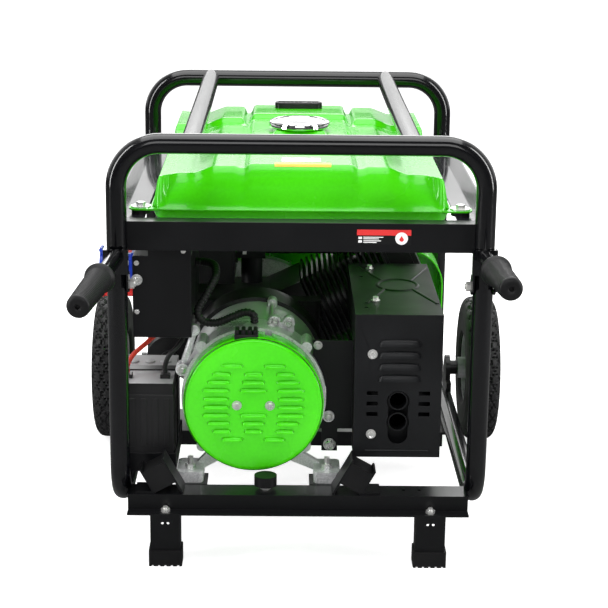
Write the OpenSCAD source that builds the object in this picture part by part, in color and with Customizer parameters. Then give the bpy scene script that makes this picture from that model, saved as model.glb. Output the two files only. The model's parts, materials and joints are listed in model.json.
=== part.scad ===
// Open-frame portable petrol generator, in millimetres.
// The origin is on the ground, under the middle of the whole set.
// +X is the exhaust side, -Y the alternator end and +Z up.
// Every y below is counted from the plane of the front hoop.

/* [Frame] */
// Width over the hoops
hoop_w = 530; // [500:1:560]
// Height of the hoops' top tube, over its upper side
hoop_top = 611; // [600:1:630]
// Distance between the two hoops' planes
frame_l = 680; // [660:1:700]
// Outside diameter of the frame tube
tube_d = 28; // [24:0.5:30]
// Wall thickness of the frame tube
tube_wall = 2; // [1.5:0.1:3]
// Height of the side rails' centreline
rail_z = 84; // [80:1:90]
// Bend radius of the tubes, on the centreline
bend_r = 60; // [50:1:70]

/* [Wheels] */
// Outside diameter of a wheel
wheel_d = 245; // [235:1:255]
// Width of a tyre
tyre_w = 56; // [50:1:60]
// Distance between the outer faces of the wheels
track_w = 680; // [676:1:700]
// Distance of the axle behind the front hoop
axle_y = 535; // [520:1:545]
// Diameter of the stub axles
axle_d = 14; // [12:0.5:16]

/* [Handles] */
// How far the grips reach in front of the front hoop
handle_reach = 222; // [200:1:240]
// Height of the fold pivots
pivot_z = 402.5; // [395:0.5:415]
// Diameter of the handle tube
handle_d = 22; // [20:0.5:24]
// Droop of the left handle at rest, in degrees
left_droop = 4.5; // [0:0.5:6]
// Droop of the right handle at rest, in degrees
right_droop = -2.5; // [-4:0.5:0]

/* [Alternator] */
// Height of the crank and alternator axis
shaft_z = 218; // [216:1:222]
// Sideways place of that axis
shaft_x = -64.5; // [-68:0.5:-62]
// Diameter of the round end cover
cover_d = 200; // [190:1:204]

/* [Engine] */
// Tilt of the cylinder above the horizontal
cyl_tilt = 25; // [22:1:28]
// Cylinder bore
bore_d = 88; // [80:1:90]

/* [Tank] */
// Width of the tank over its seam flange
tank_w = 410; // [400:1:420]
// Length of the tank over its seam flange
tank_l = 600; // [560:1:610]
// Height of the seam flange
seam_z = 498; // [497:1:500]
// Height of the tank's raised middle
tank_top = 556; // [550:1:562]

/* [Hidden] */

$fn = 48;
hull_fn = 32;
over = 1;                 // how far a cutter runs past a face
gap = 0.3;                // clearance between moving faces
fit = 0.05;               // radial clearance of a running fit
sheet = 2.5;              // pressed steel of the frame
tube_r = tube_d / 2;
leg_x = hoop_w / 2 - tube_r;
top_z = hoop_top - tube_r;
carry_x = 150;
tube_up = 43;             // height of a handle's tube above its pivot
front_y = (handle_reach + tube_up * sin(left_droop) + 1.5 - frame_l - tube_r) / 2;

// front crossmember, as a section across the frame
cm_top = 100.4;
cm_lip = 76;
cm_y0 = -16;
cm_y1 = 25;
cm_lip_y = -34;

// legs
leg_w = 42;
leg_pos = [-186.5, 186.5];
boot_h = 24;

// tank bars and rails
bar_z0 = 450;
bar_z1 = 490.5;
bar_y0 = -3;
bar_y1 = 23;
rail_x0 = 215;
rail_x1 = 255;
tank_y0 = 33;
ear_x = 212;
ear_y = 56;
bolt_x = ear_x + 10;
cap_y = 376;

// rubber sandwich mounts under the alternator
mount_tilt = 29;
mount_x = 139;            // half the distance between the two blocks
mount_mid = -57;
mount_z = 124;
buffer_x = -46.4;
foot_z0 = 101;
foot_z1 = 117;
stud_x = [-155, 41.5];
stud_y = 50;

// engine crossmember
em_y0 = 345;
em_y1 = 455;
em_top = 70;
case_z0 = 90;
case_z1 = 300;
case_y0 = 300;
case_y1 = 455;
case_x0 = -165;
case_x1 = 36;

// cylinder, measured along its own axis from the crank axis
cyl_y = 400;
cyl_w = 130;
deck_d = 105;
head_d = 200;
head_end = 246;
rocker_end = 288;

// muffler and its shield
shield = [[78, 30, 142], [202, 335, 353]];
pipe_x = 141;
pipe_z = [225, 193.5];

// control box, battery and air cleaner
box = [[-234, 40, 314], [-152, 265, 432]];
cell = [[-264, 46, 116], [-178, 190, 250]];
intake_z = 366;
air = [[-225, 335, 318], [-100, 455, 428]];
blue_at = [box[0][0], 100, 402];
red_at = [box[0][0], 165, 366];
key_at = [box[0][0], 228, 400];
breaker_at = [box[0][0], 228, 352];

// routes of the wires and the hose that the set holds all along
red_route = [[-246, 77, 250.3], [-246, 77, 262], [-238, 84, 276], [-218, 104, 290], [-204, 118, 302],
    [-204, 118, 313.6]];
black_route = [[-192, 77, 250.3], [-192, 77, 262], [-186, 75, 278], [-174, 80, 290], [-166, 88, 302],
    [-166, 88, 313.4]];
loom_route = [[-151.2, 150, 398], [-146, 150, 398], [-140, 149, 398], [-124, 134, 397],
    [-121, 112, 386], [-134, 98, 362], [-146, 92, 340], [-138, 90, 325], [-118, 89, 323],
    [-94, 88, 333], [-78, 88, 339], [-67, 88, 336.5], [-64.5, 88, 330], [-64.5, 88, 323.5]];
plug_route = [[94, 400, 414], [90, 408, 426], [82, 430, 430], [70, 456, 418],
    [62, 474, 392], [60, 480, 354]];
hose_route = [[-40, 300, 410.5], [-40, 300, 406], [-40, 300, 401], [-44, 314, 389], [-56, 346, 376], [-62, 374, 374],
    [-62, 383.6, 374]];

function dir(v) = v / norm(v);
function bezier_like(p, i, t) =
    let (a = p[max(i - 1, 0)], b = p[i], c = p[i + 1], d = p[min(i + 2, len(p) - 1)])
    0.5 * ((2 * b) + (c - a) * t + (2 * a - 5 * b + 4 * c - d) * t * t
        + (3 * b - a - 3 * c + d) * t * t * t);
function smooth(p, n) = [for (i = [0 : len(p) - 2], k = [0 : n - 1]) bezier_like(p, i, k / n),
    p[len(p) - 1]];
function tangent(q, i) = dir(q[min(i + 1, len(q) - 1)] - q[max(i - 1, 0)]);
function ring(c, t, r, sides) =
    let (u = dir(cross(t, [0.9, -0.4, 0.15])), v = cross(t, u))
    [for (k = [0 : sides - 1]) c + r * (cos(360 * k / sides) * u + sin(360 * k / sides) * v)];

module at(x, y, z) { translate([x, front_y + y, z]) children(); }

// Round bar along X, Y or Z, starting at a point
module rod_x(p, l, r) { at(p[0], p[1], p[2]) rotate([0, 90, 0]) cylinder(h = l, r = r); }
module rod_y(p, l, r) { at(p[0], p[1], p[2]) rotate([-90, 0, 0]) cylinder(h = l, r = r); }
module rod_z(p, l, r) { at(p[0], p[1], p[2]) cylinder(h = l, r = r); }
module block(a, b) { at(a[0], a[1], a[2]) cube(b - a); }
module hex_z(p, l, r) { at(p[0], p[1], p[2]) cylinder(h = l, r = r, $fn = 6); }
module hex_y(p, l, r) { at(p[0], p[1], p[2]) rotate([-90, 0, 0]) cylinder(h = l, r = r, $fn = 6); }
module hex_x(p, l, r) { at(p[0], p[1], p[2]) rotate([0, 90, 0]) cylinder(h = l, r = r, $fn = 6); }

// Box with its four upright edges rounded
module slab(a, b, r) {
    h = b[2] - a[2];
    block([a[0] + r, a[1], a[2]], [b[0] - r, b[1], b[2]]);
    block([a[0], a[1] + r, a[2]], [b[0], b[1] - r, b[2]]);
    for (x = [a[0] + r, b[0] - r], y = [a[1] + r, b[1] - r]) rod_z([x, y, a[2]], h, r);
}

// A cord swept along its route
module cord(route, r, n = 2, sides = 8) {
    q = smooth(route, n);
    m = len(q);
    pts = [for (i = [0 : m - 1]) each ring(q[i], tangent(q, i), r, sides)];
    walls = [for (i = [0 : m - 2], k = [0 : sides - 1])
        [i * sides + k, (i + 1) * sides + k, (i + 1) * sides + (k + 1) % sides,
            i * sides + (k + 1) % sides]];
    first = [for (k = [0 : sides - 1]) k];
    last = [for (k = [sides - 1 : -1 : 0]) (m - 1) * sides + k];
    at(0, 0, 0) polyhedron(points = pts, faces = concat(walls, [first, last]));
}

// One hoop: an arch whose legs bend into the side rails; grow adds to its radius
module hoop_shape(r, ends = 0) {
    low = rail_z + bend_r;
    straight = 2 * (leg_x - bend_r);
    for (s = [-1, 1]) {
        rod_z([s * leg_x, 0, low], top_z - bend_r - low, r);
        at(s * (leg_x - bend_r), 0, top_z - bend_r) rotate([90, 0, 0])
            rotate([0, 0, s > 0 ? 0 : 90]) rotate_extrude(angle = 90) translate([bend_r, 0]) circle(r);
        at(s * leg_x, bend_r, low) rotate([0, -90, 0]) rotate([0, 0, 180])
            rotate_extrude(angle = 90) translate([bend_r, 0]) circle(r);
        if (ends > 0) rod_y([s * leg_x, bend_r, rail_z], ends, r);
    }
    rod_x([-straight / 2, 0, top_z], straight, r);
}
module hoop() {
    difference() {
        hoop_shape(tube_r);
        hoop_shape(tube_r - tube_wall, ends = over);
    }
}
// The rear half of the frame is the front one turned round
module turned() { translate([0, 2 * front_y + frame_l, 0]) mirror([0, 1, 0]) children(); }

module front_hoop() {
    color("#1b1b1f") difference() {
        hoop();
        for (s = [-1, 1]) rod_x([s * leg_x - tube_d, 0, pivot_z], 2 * tube_d, 4);
    }
}
module rear_hoop() { color("#1b1b1f") turned() hoop(); }
module frame_tubes() {
    color("#1b1b1f") {
        for (s = [-1, 1]) difference() {
            rod_y([s * leg_x, bend_r, rail_z], frame_l - 2 * bend_r, tube_r);
            rod_y([s * leg_x, bend_r - over, rail_z], frame_l, tube_r - tube_wall);
        }
        for (s = [-1, 1]) difference() {
            rod_y([s * carry_x, 0, top_z], frame_l, tube_r);
            rod_y([s * carry_x, 0, top_z], frame_l, tube_r - tube_wall);
            for (y = [0, frame_l]) rod_x([s * carry_x - tube_d, y, top_z], 2 * tube_d, tube_r);
        }
    }
}

// Pressed section between the rails; a lip carries the legs
module crossmember_bar(lip) {
    x = leg_x - 11;
    difference() {
        union() {
            block([-x, cm_y0, cm_top - sheet], [x, cm_y1, cm_top]);
            block([-x, cm_y0, cm_lip], [x, cm_y0 + sheet, cm_top]);
            if (lip) block([-x, cm_lip_y, cm_lip], [x, cm_y0 + sheet, cm_lip + sheet]);
            block([-x, cm_y1 - sheet, cm_lip - 6], [x, cm_y1, cm_top]);
        }
        hoop_shape(tube_r);
        if (lip) {
            for (x = leg_pos) rod_z([x, -25, cm_lip - over], 3 * sheet, 3.3);
            for (x = [150, 172]) rod_z([x, 8, cm_top - 2 * sheet], 3 * sheet, 3);
        }
    }
}
module crossmembers() {
    color("#1f1f22") {
        crossmember_bar(true);
        turned() crossmember_bar(false);
        difference() {
            union() {
                block([-leg_x - 10, em_y0, em_top - 4], [leg_x + 10, em_y1, em_top]);
                for (y = [em_y0, em_y1 - 4])
                    block([-leg_x + tube_r, y, em_top - 24], [leg_x - tube_r, y + 4, em_top]);
            }
            for (x = [-140, 10], y = [370, 430]) rod_z([x, y, em_top - 6], 10, 4.2);
        }
    }
}

// Channel-section bar between a hoop's legs, open to the back
module tank_bar() {
    x = leg_x - 5;
    difference() {
        union() {
            block([-x, bar_y0, bar_z0], [x, bar_y0 + sheet, bar_z1]);
            block([-x, bar_y0, bar_z0], [x, bar_y1, bar_z0 + sheet]);
            block([-x, bar_y0, bar_z1 - sheet], [x, bar_y1, bar_z1]);
        }
        hoop_shape(tube_r);
    }
}
module tank_bars() {
    color("#1f1f22") {
        tank_bar();
        turned() tank_bar();
    }
}
module tank_rails() {
    color("#3a3a40") for (s = [-1, 1]) difference() {
        union() {
            block(s > 0 ? [rail_x0, bar_y1, bar_z1 - sheet] : [-rail_x1, bar_y1, bar_z1 - sheet],
                s > 0 ? [rail_x1, frame_l - bar_y1, bar_z1] : [-rail_x0, frame_l - bar_y1, bar_z1]);
            block(s > 0 ? [rail_x1 - sheet, bar_y1, bar_z1 - sheet] : [-rail_x1, bar_y1, bar_z1 - sheet],
                s > 0 ? [rail_x1, frame_l - bar_y1, bar_z1 + 20]
                : [-rail_x1 + sheet, frame_l - bar_y1, bar_z1 + 20]);
        }
        for (y = [ear_y, frame_l - ear_y]) rod_z([s * bolt_x, y, bar_z1 - 2 * sheet], 10, 4);
    }
}

// Pressed channel legs under the front crossmember's lip
module leg_brackets() {
    color("#1b1b1f") for (x = leg_pos) difference() {
        block([x - leg_w / 2, cm_lip_y, 4], [x + leg_w / 2, -4, cm_lip]);
        block([x - leg_w / 2 + sheet, cm_lip_y + sheet, 4 - over],
            [x + leg_w / 2 - sheet, -4 + over, cm_lip - sheet]);
        rod_z([x, -25, cm_lip - 2 * sheet], 4 * sheet, 3.3);
        for (dx = [-4, 4]) rod_y([x + dx, cm_lip_y - over, cm_lip - 12], 2 * sheet, 2);
        block([x - 4, cm_lip_y - over, cm_lip - 14], [x + 4, cm_lip_y + 2 * over, cm_lip - 10]);
    }
}
module rubber_feet() {
    color("#26262a") for (x = leg_pos) difference() {
        slab([x - leg_w / 2 - 2.5, cm_lip_y - 2.5, 0], [x + leg_w / 2 + 2.5, -1.5, boot_h], 3);
        block([x - leg_w / 2, cm_lip_y, 4], [x + leg_w / 2, -4, boot_h + over]);
        for (i = [-2 : 2])
            block([x + i * 9 - 1.5, cm_lip_y - 4, -over], [x + i * 9 + 1.5, over, 2]);
    }
}

// Upright plates on the side rails with the stub axles
module axle_brackets() {
    wheel_z = wheel_d / 2;
    color("#1b1b1f") for (s = [-1, 1]) {
        x0 = s > 0 ? 256 : -264;
        difference() {
            union() {
                rod_x([x0, axle_y, wheel_z], 8, 21.5);
                block([x0, axle_y - 21.5, rail_z], [x0 + 8, axle_y + 21.5, wheel_z]);
                block([x0, axle_y - 40, rail_z], [x0 + 8, axle_y + 40, rail_z + 22]);
            }
            rod_y([s * leg_x, axle_y - 60, rail_z], 120, tube_r);
        }
        difference() {
            rod_x([s > 0 ? 264 : -338, axle_y, wheel_z], 74, axle_d / 2);
            rod_z([s * 334, axle_y, wheel_z - axle_d], 2 * axle_d, 1.6);
        }
        difference() {
            rod_x([s > 0 ? 264 : -276.5, axle_y, wheel_z], 12.5, 12);
            rod_x([s > 0 ? 263 : -278, axle_y, wheel_z], 15, axle_d / 2);
        }
    }
}

// Leg nuts, tank bolts with big washers, axle washers with their split pins
module frame_bolts() {
    wheel_z = wheel_d / 2;
    color("#c9ccd2") {
        for (x = leg_pos) {
            hex_z([x, -25, cm_lip + sheet], 5, 6.5);
            rod_z([x, -25, cm_lip + sheet + 5], 3, 3.2);
        }
        for (s = [-1, 1], y = [ear_y, frame_l - ear_y]) {
            rod_z([s * bolt_x, y, bar_z1 - 10], seam_z + 1.2 - bar_z1 + 10, 4);
            rod_z([s * bolt_x, y, seam_z + 1], 1.6, 14);
            hex_z([s * bolt_x, y, seam_z + 2.6], 5, 6.5);
        }
        for (s = [-1, 1]) {
            difference() {
                rod_x([s > 0 ? 330.6 : -332.2, axle_y, wheel_z], 1.6, 12);
                rod_x([s > 0 ? 330 : -333, axle_y, wheel_z], 4, axle_d / 2);
            }
            rod_z([s * 334, axle_y, wheel_z - axle_d / 2 - 4], axle_d + 8, 1.6);
        }
        for (x = stud_x) {
            difference() {
                hex_z([x, stud_y, foot_z1], 7, 7.5);
                rod_z([x, stud_y, foot_z1 - over], 12, 4);
            }
            rod_z([x, stud_y, foot_z0], foot_z1 - foot_z0 + 17, 4);
        }
        hex_z([buffer_x, 10, cm_top], 6, 7.5);
    }
}

// Square rubber block of a sandwich mount, drawn about its own middle
module in_mount(s) {
    at(mount_mid + s * mount_x, 0, mount_z) mirror([s > 0 ? 1 : 0, 0, 0])
        rotate([0, -mount_tilt, 0]) children();
}
module mount_brackets() {
    color("#1f1f22") for (s = [-1, 1]) {
        in_mount(s) {
            translate([16, -12, -36]) cube([3, 41, 58]);
            difference() {
                translate([-19, -12, -28]) cube([3, 37, 50]);
                rotate([0, mount_tilt, 0]) translate([-60, -20, cm_top - mount_z - 40])
                    cube([120, 60, 40]);
            }
        }
        x = mount_mid + s * mount_x;
        block(s < 0 ? [x - 34, -12, cm_top] : [x + 7.5, -12, cm_top],
            s < 0 ? [x - 7.5, 25, cm_top + 3] : [x + 34, 25, cm_top + 3]);
        block(s < 0 ? [x + 28, 25.5, foot_z0 - 3] : [x - 66, 25.5, foot_z0 - 3],
            s < 0 ? [x + 66, stud_y + 20, foot_z0] : [x - 28, stud_y + 20, foot_z0]);
    }
    color("#1f1f22") for (x = [-140, 10], y = [370, 430]) {
        block([x - 22, y - 18, em_top], [x + 22, y + 18, em_top + 2.5]);
        block([x - 22, y - 18, case_z0 - 2.5], [x + 22, y + 18, case_z0]);
    }
}
module rubber_mounts() {
    color("#26262a") {
        for (s = [-1, 1]) in_mount(s) translate([-16, -12, -17]) cube([32, 40, 34]);
        for (x = [-140, 10], y = [370, 430]) rod_z([x, y, em_top + 2.5], case_z0 - em_top - 5, 16);
        rod_z([buffer_x, 10, cm_top + 6], 15, 16);
    }
}

// Pressed tank: two shells meeting in a seam flange, with a stepped top
module tank_solid(inset) {
    w = tank_w / 2 - 8 - inset;
    y0 = tank_y0 + 8 + inset;
    y1 = tank_y0 + tank_l - 8 - inset;
    hull() {
        for (s = [-1, 1], y = [y0 + 22, y1 - 22])
            at(s * (w - 22), y, seam_z) cylinder(h = 1, r = 22, $fn = hull_fn);
        for (s = [-1, 1], y = [y0 + 34, y1 - 34])
            at(s * (w - 20), y, tank_top - 18 - inset) sphere(r = 14, $fn = hull_fn);
    }
    hull() {
        for (s = [-1, 1], y = [y0 + 22, y1 - 22])
            at(s * (w - 22), y, seam_z - 1) cylinder(h = 1.5, r = 22, $fn = hull_fn);
        for (s = [-1, 1], y = [y0 + 60, y1 - 60])
            at(s * (w - 50), y, 452 + inset) sphere(r = 14, $fn = hull_fn);
    }
}
module fuel_tank() {
    color("#45e010") {
        difference() {
            union() {
                difference() {
                    tank_solid(0);
                    tank_solid(1.5);
                }
                // raised middle, the plinth under the cap, and the higher panels at the back
                slab([-76, tank_y0 + 40, tank_top - 5], [76, 592, tank_top], 8);
                slab([-42, cap_y - 46, tank_top - 5], [42, cap_y + 56, tank_top + 5], 6);
                slab([-73, 490, tank_top - 5], [73, 592, tank_top + 8], 8);
                slab([-146, 460, tank_top - 5], [-90, 592, tank_top + 5], 8);
                slab([90, 460, tank_top - 5], [146, 592, tank_top + 5], 8);
            }
            rod_z([0, cap_y, tank_top - 20], 60, 30);
        }
        // seam flange with its four ears
        difference() {
            union() {
                slab([-tank_w / 2, tank_y0, seam_z - 1], [tank_w / 2, tank_y0 + tank_l, seam_z + 1], 30);
                for (s = [-1, 1], y = [ear_y, frame_l - ear_y])
                    slab([s * ear_x - 26, y - 17, seam_z - 1], [s * ear_x + 26, y + 17, seam_z + 1], 12);
            }
            hull() for (s = [-1, 1], y = [tank_y0 + 30, tank_y0 + tank_l - 30])
                at(s * (tank_w / 2 - 30), y, seam_z - 3) cylinder(h = 6, r = 22, $fn = hull_fn);
            for (s = [-1, 1], y = [ear_y, frame_l - ear_y]) rod_z([s * bolt_x, y, seam_z - 5], 10, 4);
        }
    }
}
module tank_mounts() {
    color("#26262a") for (s = [-1, 1], y = [ear_y, frame_l - ear_y]) difference() {
        rod_z([s * bolt_x, y, bar_z1], seam_z - 1 - bar_z1, 13);
        rod_z([s * bolt_x, y, bar_z1 - over], seam_z, 4);
    }
}
module fuel_gauge() {
    color("#111114") slab([-39, 548, tank_top + 8], [39, 572, tank_top + 18], 10);
}
module fuel_cap() {
    color("#e6e8ec") difference() {
        union() {
            rod_z([0, cap_y, tank_top + 5 + gap], 13, 48);
            rod_z([0, cap_y, tank_top + 18 + gap], 2.5, 41);
            rod_z([0, cap_y, tank_top - 6], 12, 30 - gap);
        }
        rod_z([0, cap_y, tank_top - 8], 17, 26);
    }
}
module fuel_valve() {
    color("#9a9ca0") {
        rod_z([-40, 300, 411], 27, 5);
        rod_x([-58, 300, 420], 13, 7);
    }
}
module fuel_lever() {
    color("#b02020") {
        rod_x([-64, 300, 420], 5.7, 6);
        block([-64, 297, 396], [-60, 303, 420]);
    }
}
module fuel_hose() { color("#1c1c1f") cord(hose_route, 4, 3, 10); }

// ---- engine ----
module in_cylinder() { at(shaft_x, cyl_y, shaft_z) rotate([0, -cyl_tilt, 0]) children(); }

module crankcase() {
    wall = 8;
    color("#2a2b2e") difference() {
        union() {
            slab([case_x0, case_y0, case_z0], [case_x1, case_y1, case_z1], 10);
            in_cylinder() translate([0, -cyl_w / 2, -66]) cube([deck_d, cyl_w, 132]);
            rod_y([shaft_x, 237, shaft_z], 64, 104);
        }
        block([case_x0 + wall, case_y0 + wall, case_z0 + wall],
            [case_x1 - wall, case_y1 - wall, case_z1 - wall]);
        in_cylinder() rotate([0, 90, 0]) cylinder(h = deck_d + 40, r = bore_d / 2);
        rod_y([shaft_x, 236, shaft_z], 53, 92);
        rod_y([shaft_x, 280, shaft_z], 40, 17.5 + fit);
        rod_y([shaft_x, case_y1 - 20, shaft_z], 40, 15 + fit);
    }
}

module cylinder_block() {
    color("#232427") difference() {
        in_cylinder() barrel(3, 9);
        block([case_x0, case_y0, case_z0], [case_x1, case_y1, case_z1]);
    }
}
// Finned barrel and head, with the inlet port through them
module barrel(fin, pitch) {
    difference() {
        union() {
            translate([deck_d, 0, 0]) rotate([0, 90, 0])
                cylinder(h = head_end - deck_d, r = bore_d / 2 + 9);
            for (d = [deck_d + 4 : pitch : head_d - 8])
                translate([d, -cyl_w / 2, -70]) cube([fin, cyl_w, 140]);
            for (d = [head_d + 2 : pitch : head_end - 5])
                translate([d, -cyl_w / 2 + 4, -76]) cube([fin, cyl_w - 8, 152]);
            translate([head_end - 6, -48, -52]) cube([6, 96, 104]);
            translate([head_d + 8, -cyl_w / 2, -20]) cube([34, 40, 40]);
        }
        translate([deck_d - over, 0, 0]) rotate([0, 90, 0])
            cylinder(h = head_d - deck_d, r = bore_d / 2);
        rotate([0, cyl_tilt, 0]) translate([-shaft_x - 60, 2, intake_z - shaft_z]) rotate([0, 90, 0])
            cylinder(h = 158, r = 13);
    }
}
module valve_cover() {
    color("#303135") in_cylinder() difference() {
        union() {
            translate([head_end, -44, -48]) cube([rocker_end - head_end - 8, 88, 96]);
            translate([rocker_end - 8, -38, -42]) cube([8, 76, 84]);
        }
        translate([head_end - over, -41, -45]) cube([rocker_end - head_end - 10, 82, 90]);
    }
}
module spark_plug() {
    color("#1c1c1f") in_cylinder() {
        translate([head_d + 27, 0, 76]) cylinder(h = 10, r = 9, $fn = 6);
        translate([head_d + 27, 0, 86]) cylinder(h = 22, r = 6.5);
    }
}

module carburettor() {
    color("#8d9094") {
        block([-96, 384, intake_z - 18], [-52, 420, intake_z + 18]);
        rod_z([-74, 402, 306], intake_z - 324, 17);
        rod_x([-52, 402, intake_z], 150, 13);
        block([-99.7, 378, intake_z - 24], [-96, 426, intake_z + 24]);
    }
}
module choke_lever() {
    color("#c9ccd2") {
        rod_y([-85, 372, intake_z], 11.7, 4);
        block([-88, 368.5, intake_z - 8], [-82, 372, intake_z + 38]);
    }
}
module air_cleaner() {
    color("#1c1c1f") difference() {
        block([-160, air[0][1], air[0][2]], air[1]);
        block([-160 - over, air[0][1] + 3, air[0][2] + 3], air[1] - [3, 3, 3]);
        rod_x([-110, 402, intake_z], 20, 13);
    }
}
module air_cleaner_cover() {
    color("#1c1c1f") difference() {
        union() {
            block([air[0][0] + 8, air[0][1], air[0][2]], [-160, air[1][1], air[1][2]]);
            block([air[0][0], air[0][1] + 8, air[0][2] + 8], [-210, air[1][1] - 8, air[1][2] - 8]);
        }
        block([air[0][0] + 11, air[0][1] + 3, air[0][2] + 3], [-160 + over, air[1][1] - 3, air[1][2] - 3]);
    }
}

module shroud_outline(inset) {
    translate([shaft_x, shaft_z]) circle(150 - inset);
    translate([181, 285]) circle(60 - inset);
    translate([221, 198]) circle(20 - inset);
    polygon([[shaft_x + 63, shaft_z + 150 - inset - 14], [181, 345 - inset], [181, 178 + inset],
        [shaft_x, 178 + inset], [shaft_x, shaft_z + 150 - inset]]);
    translate([150, 178 + inset]) square([70, 107 - inset]);
    translate([200, 198]) square([41 - inset, 87]);
}
module fan_shroud() {
    color("#45e010") difference() {
        at(0, 545, 0) rotate([90, 0, 0]) linear_extrude(80) shroud_outline(0);
        at(0, 543, 0) rotate([90, 0, 0]) linear_extrude(80) shroud_outline(2);
        rod_y([shaft_x, 540, shaft_z], 10, 82);
    }
}
module recoil_cover() {
    color("#45e010") difference() {
        union() {
            rod_y([shaft_x, 545, shaft_z], 40, 100);
            rod_y([shaft_x, 585, shaft_z], 12, 60);
            rod_x([shaft_x - 125, 566, shaft_z + 32], 40, 10);
        }
        rod_y([shaft_x, 544, shaft_z], 38, 97);
        rod_y([shaft_x, 580, shaft_z], 14, 56);
        rod_x([shaft_x - 140, 566, shaft_z + 32], 80, 5.4);
        for (a = [15 : 30 : 345]) at(shaft_x, 580, shaft_z) rotate([0, a, 0])
            translate([70, 0, -4]) cube([20, 10, 8]);
    }
}
module recoil_handle() {
    x = shaft_x - 125.3;
    color("#1c1c1f") {
        rod_x([x, 566, shaft_z + 32], 70, 3);
        rod_x([x - 12, 566, shaft_z + 32], 12, 8);
        hull() for (z = [-34, 34])
            at(x - 24, 566, shaft_z + 32 + z) rotate([0, 90, 0]) cylinder(h = 12, r = 11, $fn = hull_fn);
    }
}
module dipstick() {
    color("#d8b020") {
        rod_y([10, 288, 118], 12, 12);
        hex_y([10, 276, 118], 12, 11);
    }
}
module starter_motor() {
    color("#2a2b2e") {
        rod_y([-203, 330, 196], 120, 36);
        rod_y([-203, 322, 196], 8, 14);
        rod_y([-222, 350, 250], 70, 17);
    }
}

// ---- turning parts ----
module crankshaft() {
    color("#9a9ca0") {
        rod_y([shaft_x, 72, shaft_z], 200, 15);
        rod_y([shaft_x, 272, shaft_z], 96, 17.5);
        for (y = [368, 414]) {
            hull() {
                rod_y([shaft_x, y, shaft_z - 26], 18, 30);
                rod_y([shaft_x, y, shaft_z + 32], 18, 22);
            }
        }
        rod_y([shaft_x, 386, shaft_z + 32], 28, 18);
        rod_y([shaft_x, 432, shaft_z], 92, 15);
        hex_y([shaft_x, 524, shaft_z], 10, 14);
    }
}
module rotor() {
    color("#7d5a3c") difference() {
        union() {
            intersection() {
                rod_y([shaft_x, 118, shaft_z], 116, 62);
                union() {
                    block([shaft_x - 70, 100, shaft_z - 34], [shaft_x + 70, 250, shaft_z + 34]);
                    block([shaft_x - 34, 100, shaft_z - 70], [shaft_x + 34, 250, shaft_z + 70]);
                }
            }
            rod_y([shaft_x, 234, shaft_z], 6, 30);
            rod_y([shaft_x, 257, shaft_z], 3, 84);
            rod_y([shaft_x, 240, shaft_z], 16, 24);
            for (a = [0 : 30 : 330]) at(shaft_x, 259, shaft_z) rotate([0, a, 0])
                translate([40, 0, -1.5]) cube([42, 14, 3]);
        }
        rod_y([shaft_x, 110, shaft_z], 200, 15);
    }
}
module flywheel() {
    color("#8d9094") difference() {
        union() {
            rod_y([shaft_x, 470, shaft_z], 22, 110);
            rod_y([shaft_x, 466.5, shaft_z], 55.5, 26);
            for (a = [0 : 20 : 340]) at(shaft_x, 492, shaft_z) rotate([0, a, 0])
                translate([60, 0, -1.5]) cube([48, 28, 3]);
        }
        rod_y([shaft_x, 450, shaft_z], 90, 15);
    }
}

// ---- alternator ----
module end_bell() {
    color("#b9bcc0") difference() {
        union() {
            rod_y([shaft_x, 66, shaft_z], 50, 104);
            for (a = [45 : 90 : 315]) at(shaft_x, 68, shaft_z) rotate([0, a, 0])
                translate([106, 0, 0]) rotate([-90, 0, 0]) cylinder(h = 46, r = 8);
            for (dx = [-23.5, 23.5]) rod_y([shaft_x + dx, 33, shaft_z], 33, 6);
            for (x = stud_x) {
                slab([x - 19, stud_y - 20, foot_z0], [x + 19, stud_y + 40, foot_z1], 8);
                s = x < shaft_x ? 1 : -1;
                at(0, 84, 0) rotate([90, 0, 0]) linear_extrude(12) polygon([
                    [x + s * 8, foot_z0 + 1], [x + s * 8, foot_z1 - 1],
                    [shaft_x - s * 62, shaft_z - 80], [shaft_x - s * 42, shaft_z - 93]]);
            }
        }
        rod_y([shaft_x, 72, shaft_z], 50, 92);
        rod_y([shaft_x, 60, shaft_z], 30, 15 + fit);
        for (a = [0 : 45 : 315]) at(shaft_x, 60, shaft_z) rotate([0, a, 0])
            translate([58, 0, 0]) rotate([-90, 0, 0]) cylinder(h = 20, r = 15);
        for (x = stud_x) rod_z([x, stud_y, foot_z0 - over], 30, 4);
    }
}
module stator() {
    color("#6a6c70") difference() {
        union() {
            rod_y([shaft_x, 116, shaft_z], 121, 98);
            rod_y([shaft_x, 98, shaft_z], 158, 88);
        }
        rod_y([shaft_x, 90, shaft_z], 180, 62.5);
    }
}
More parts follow.
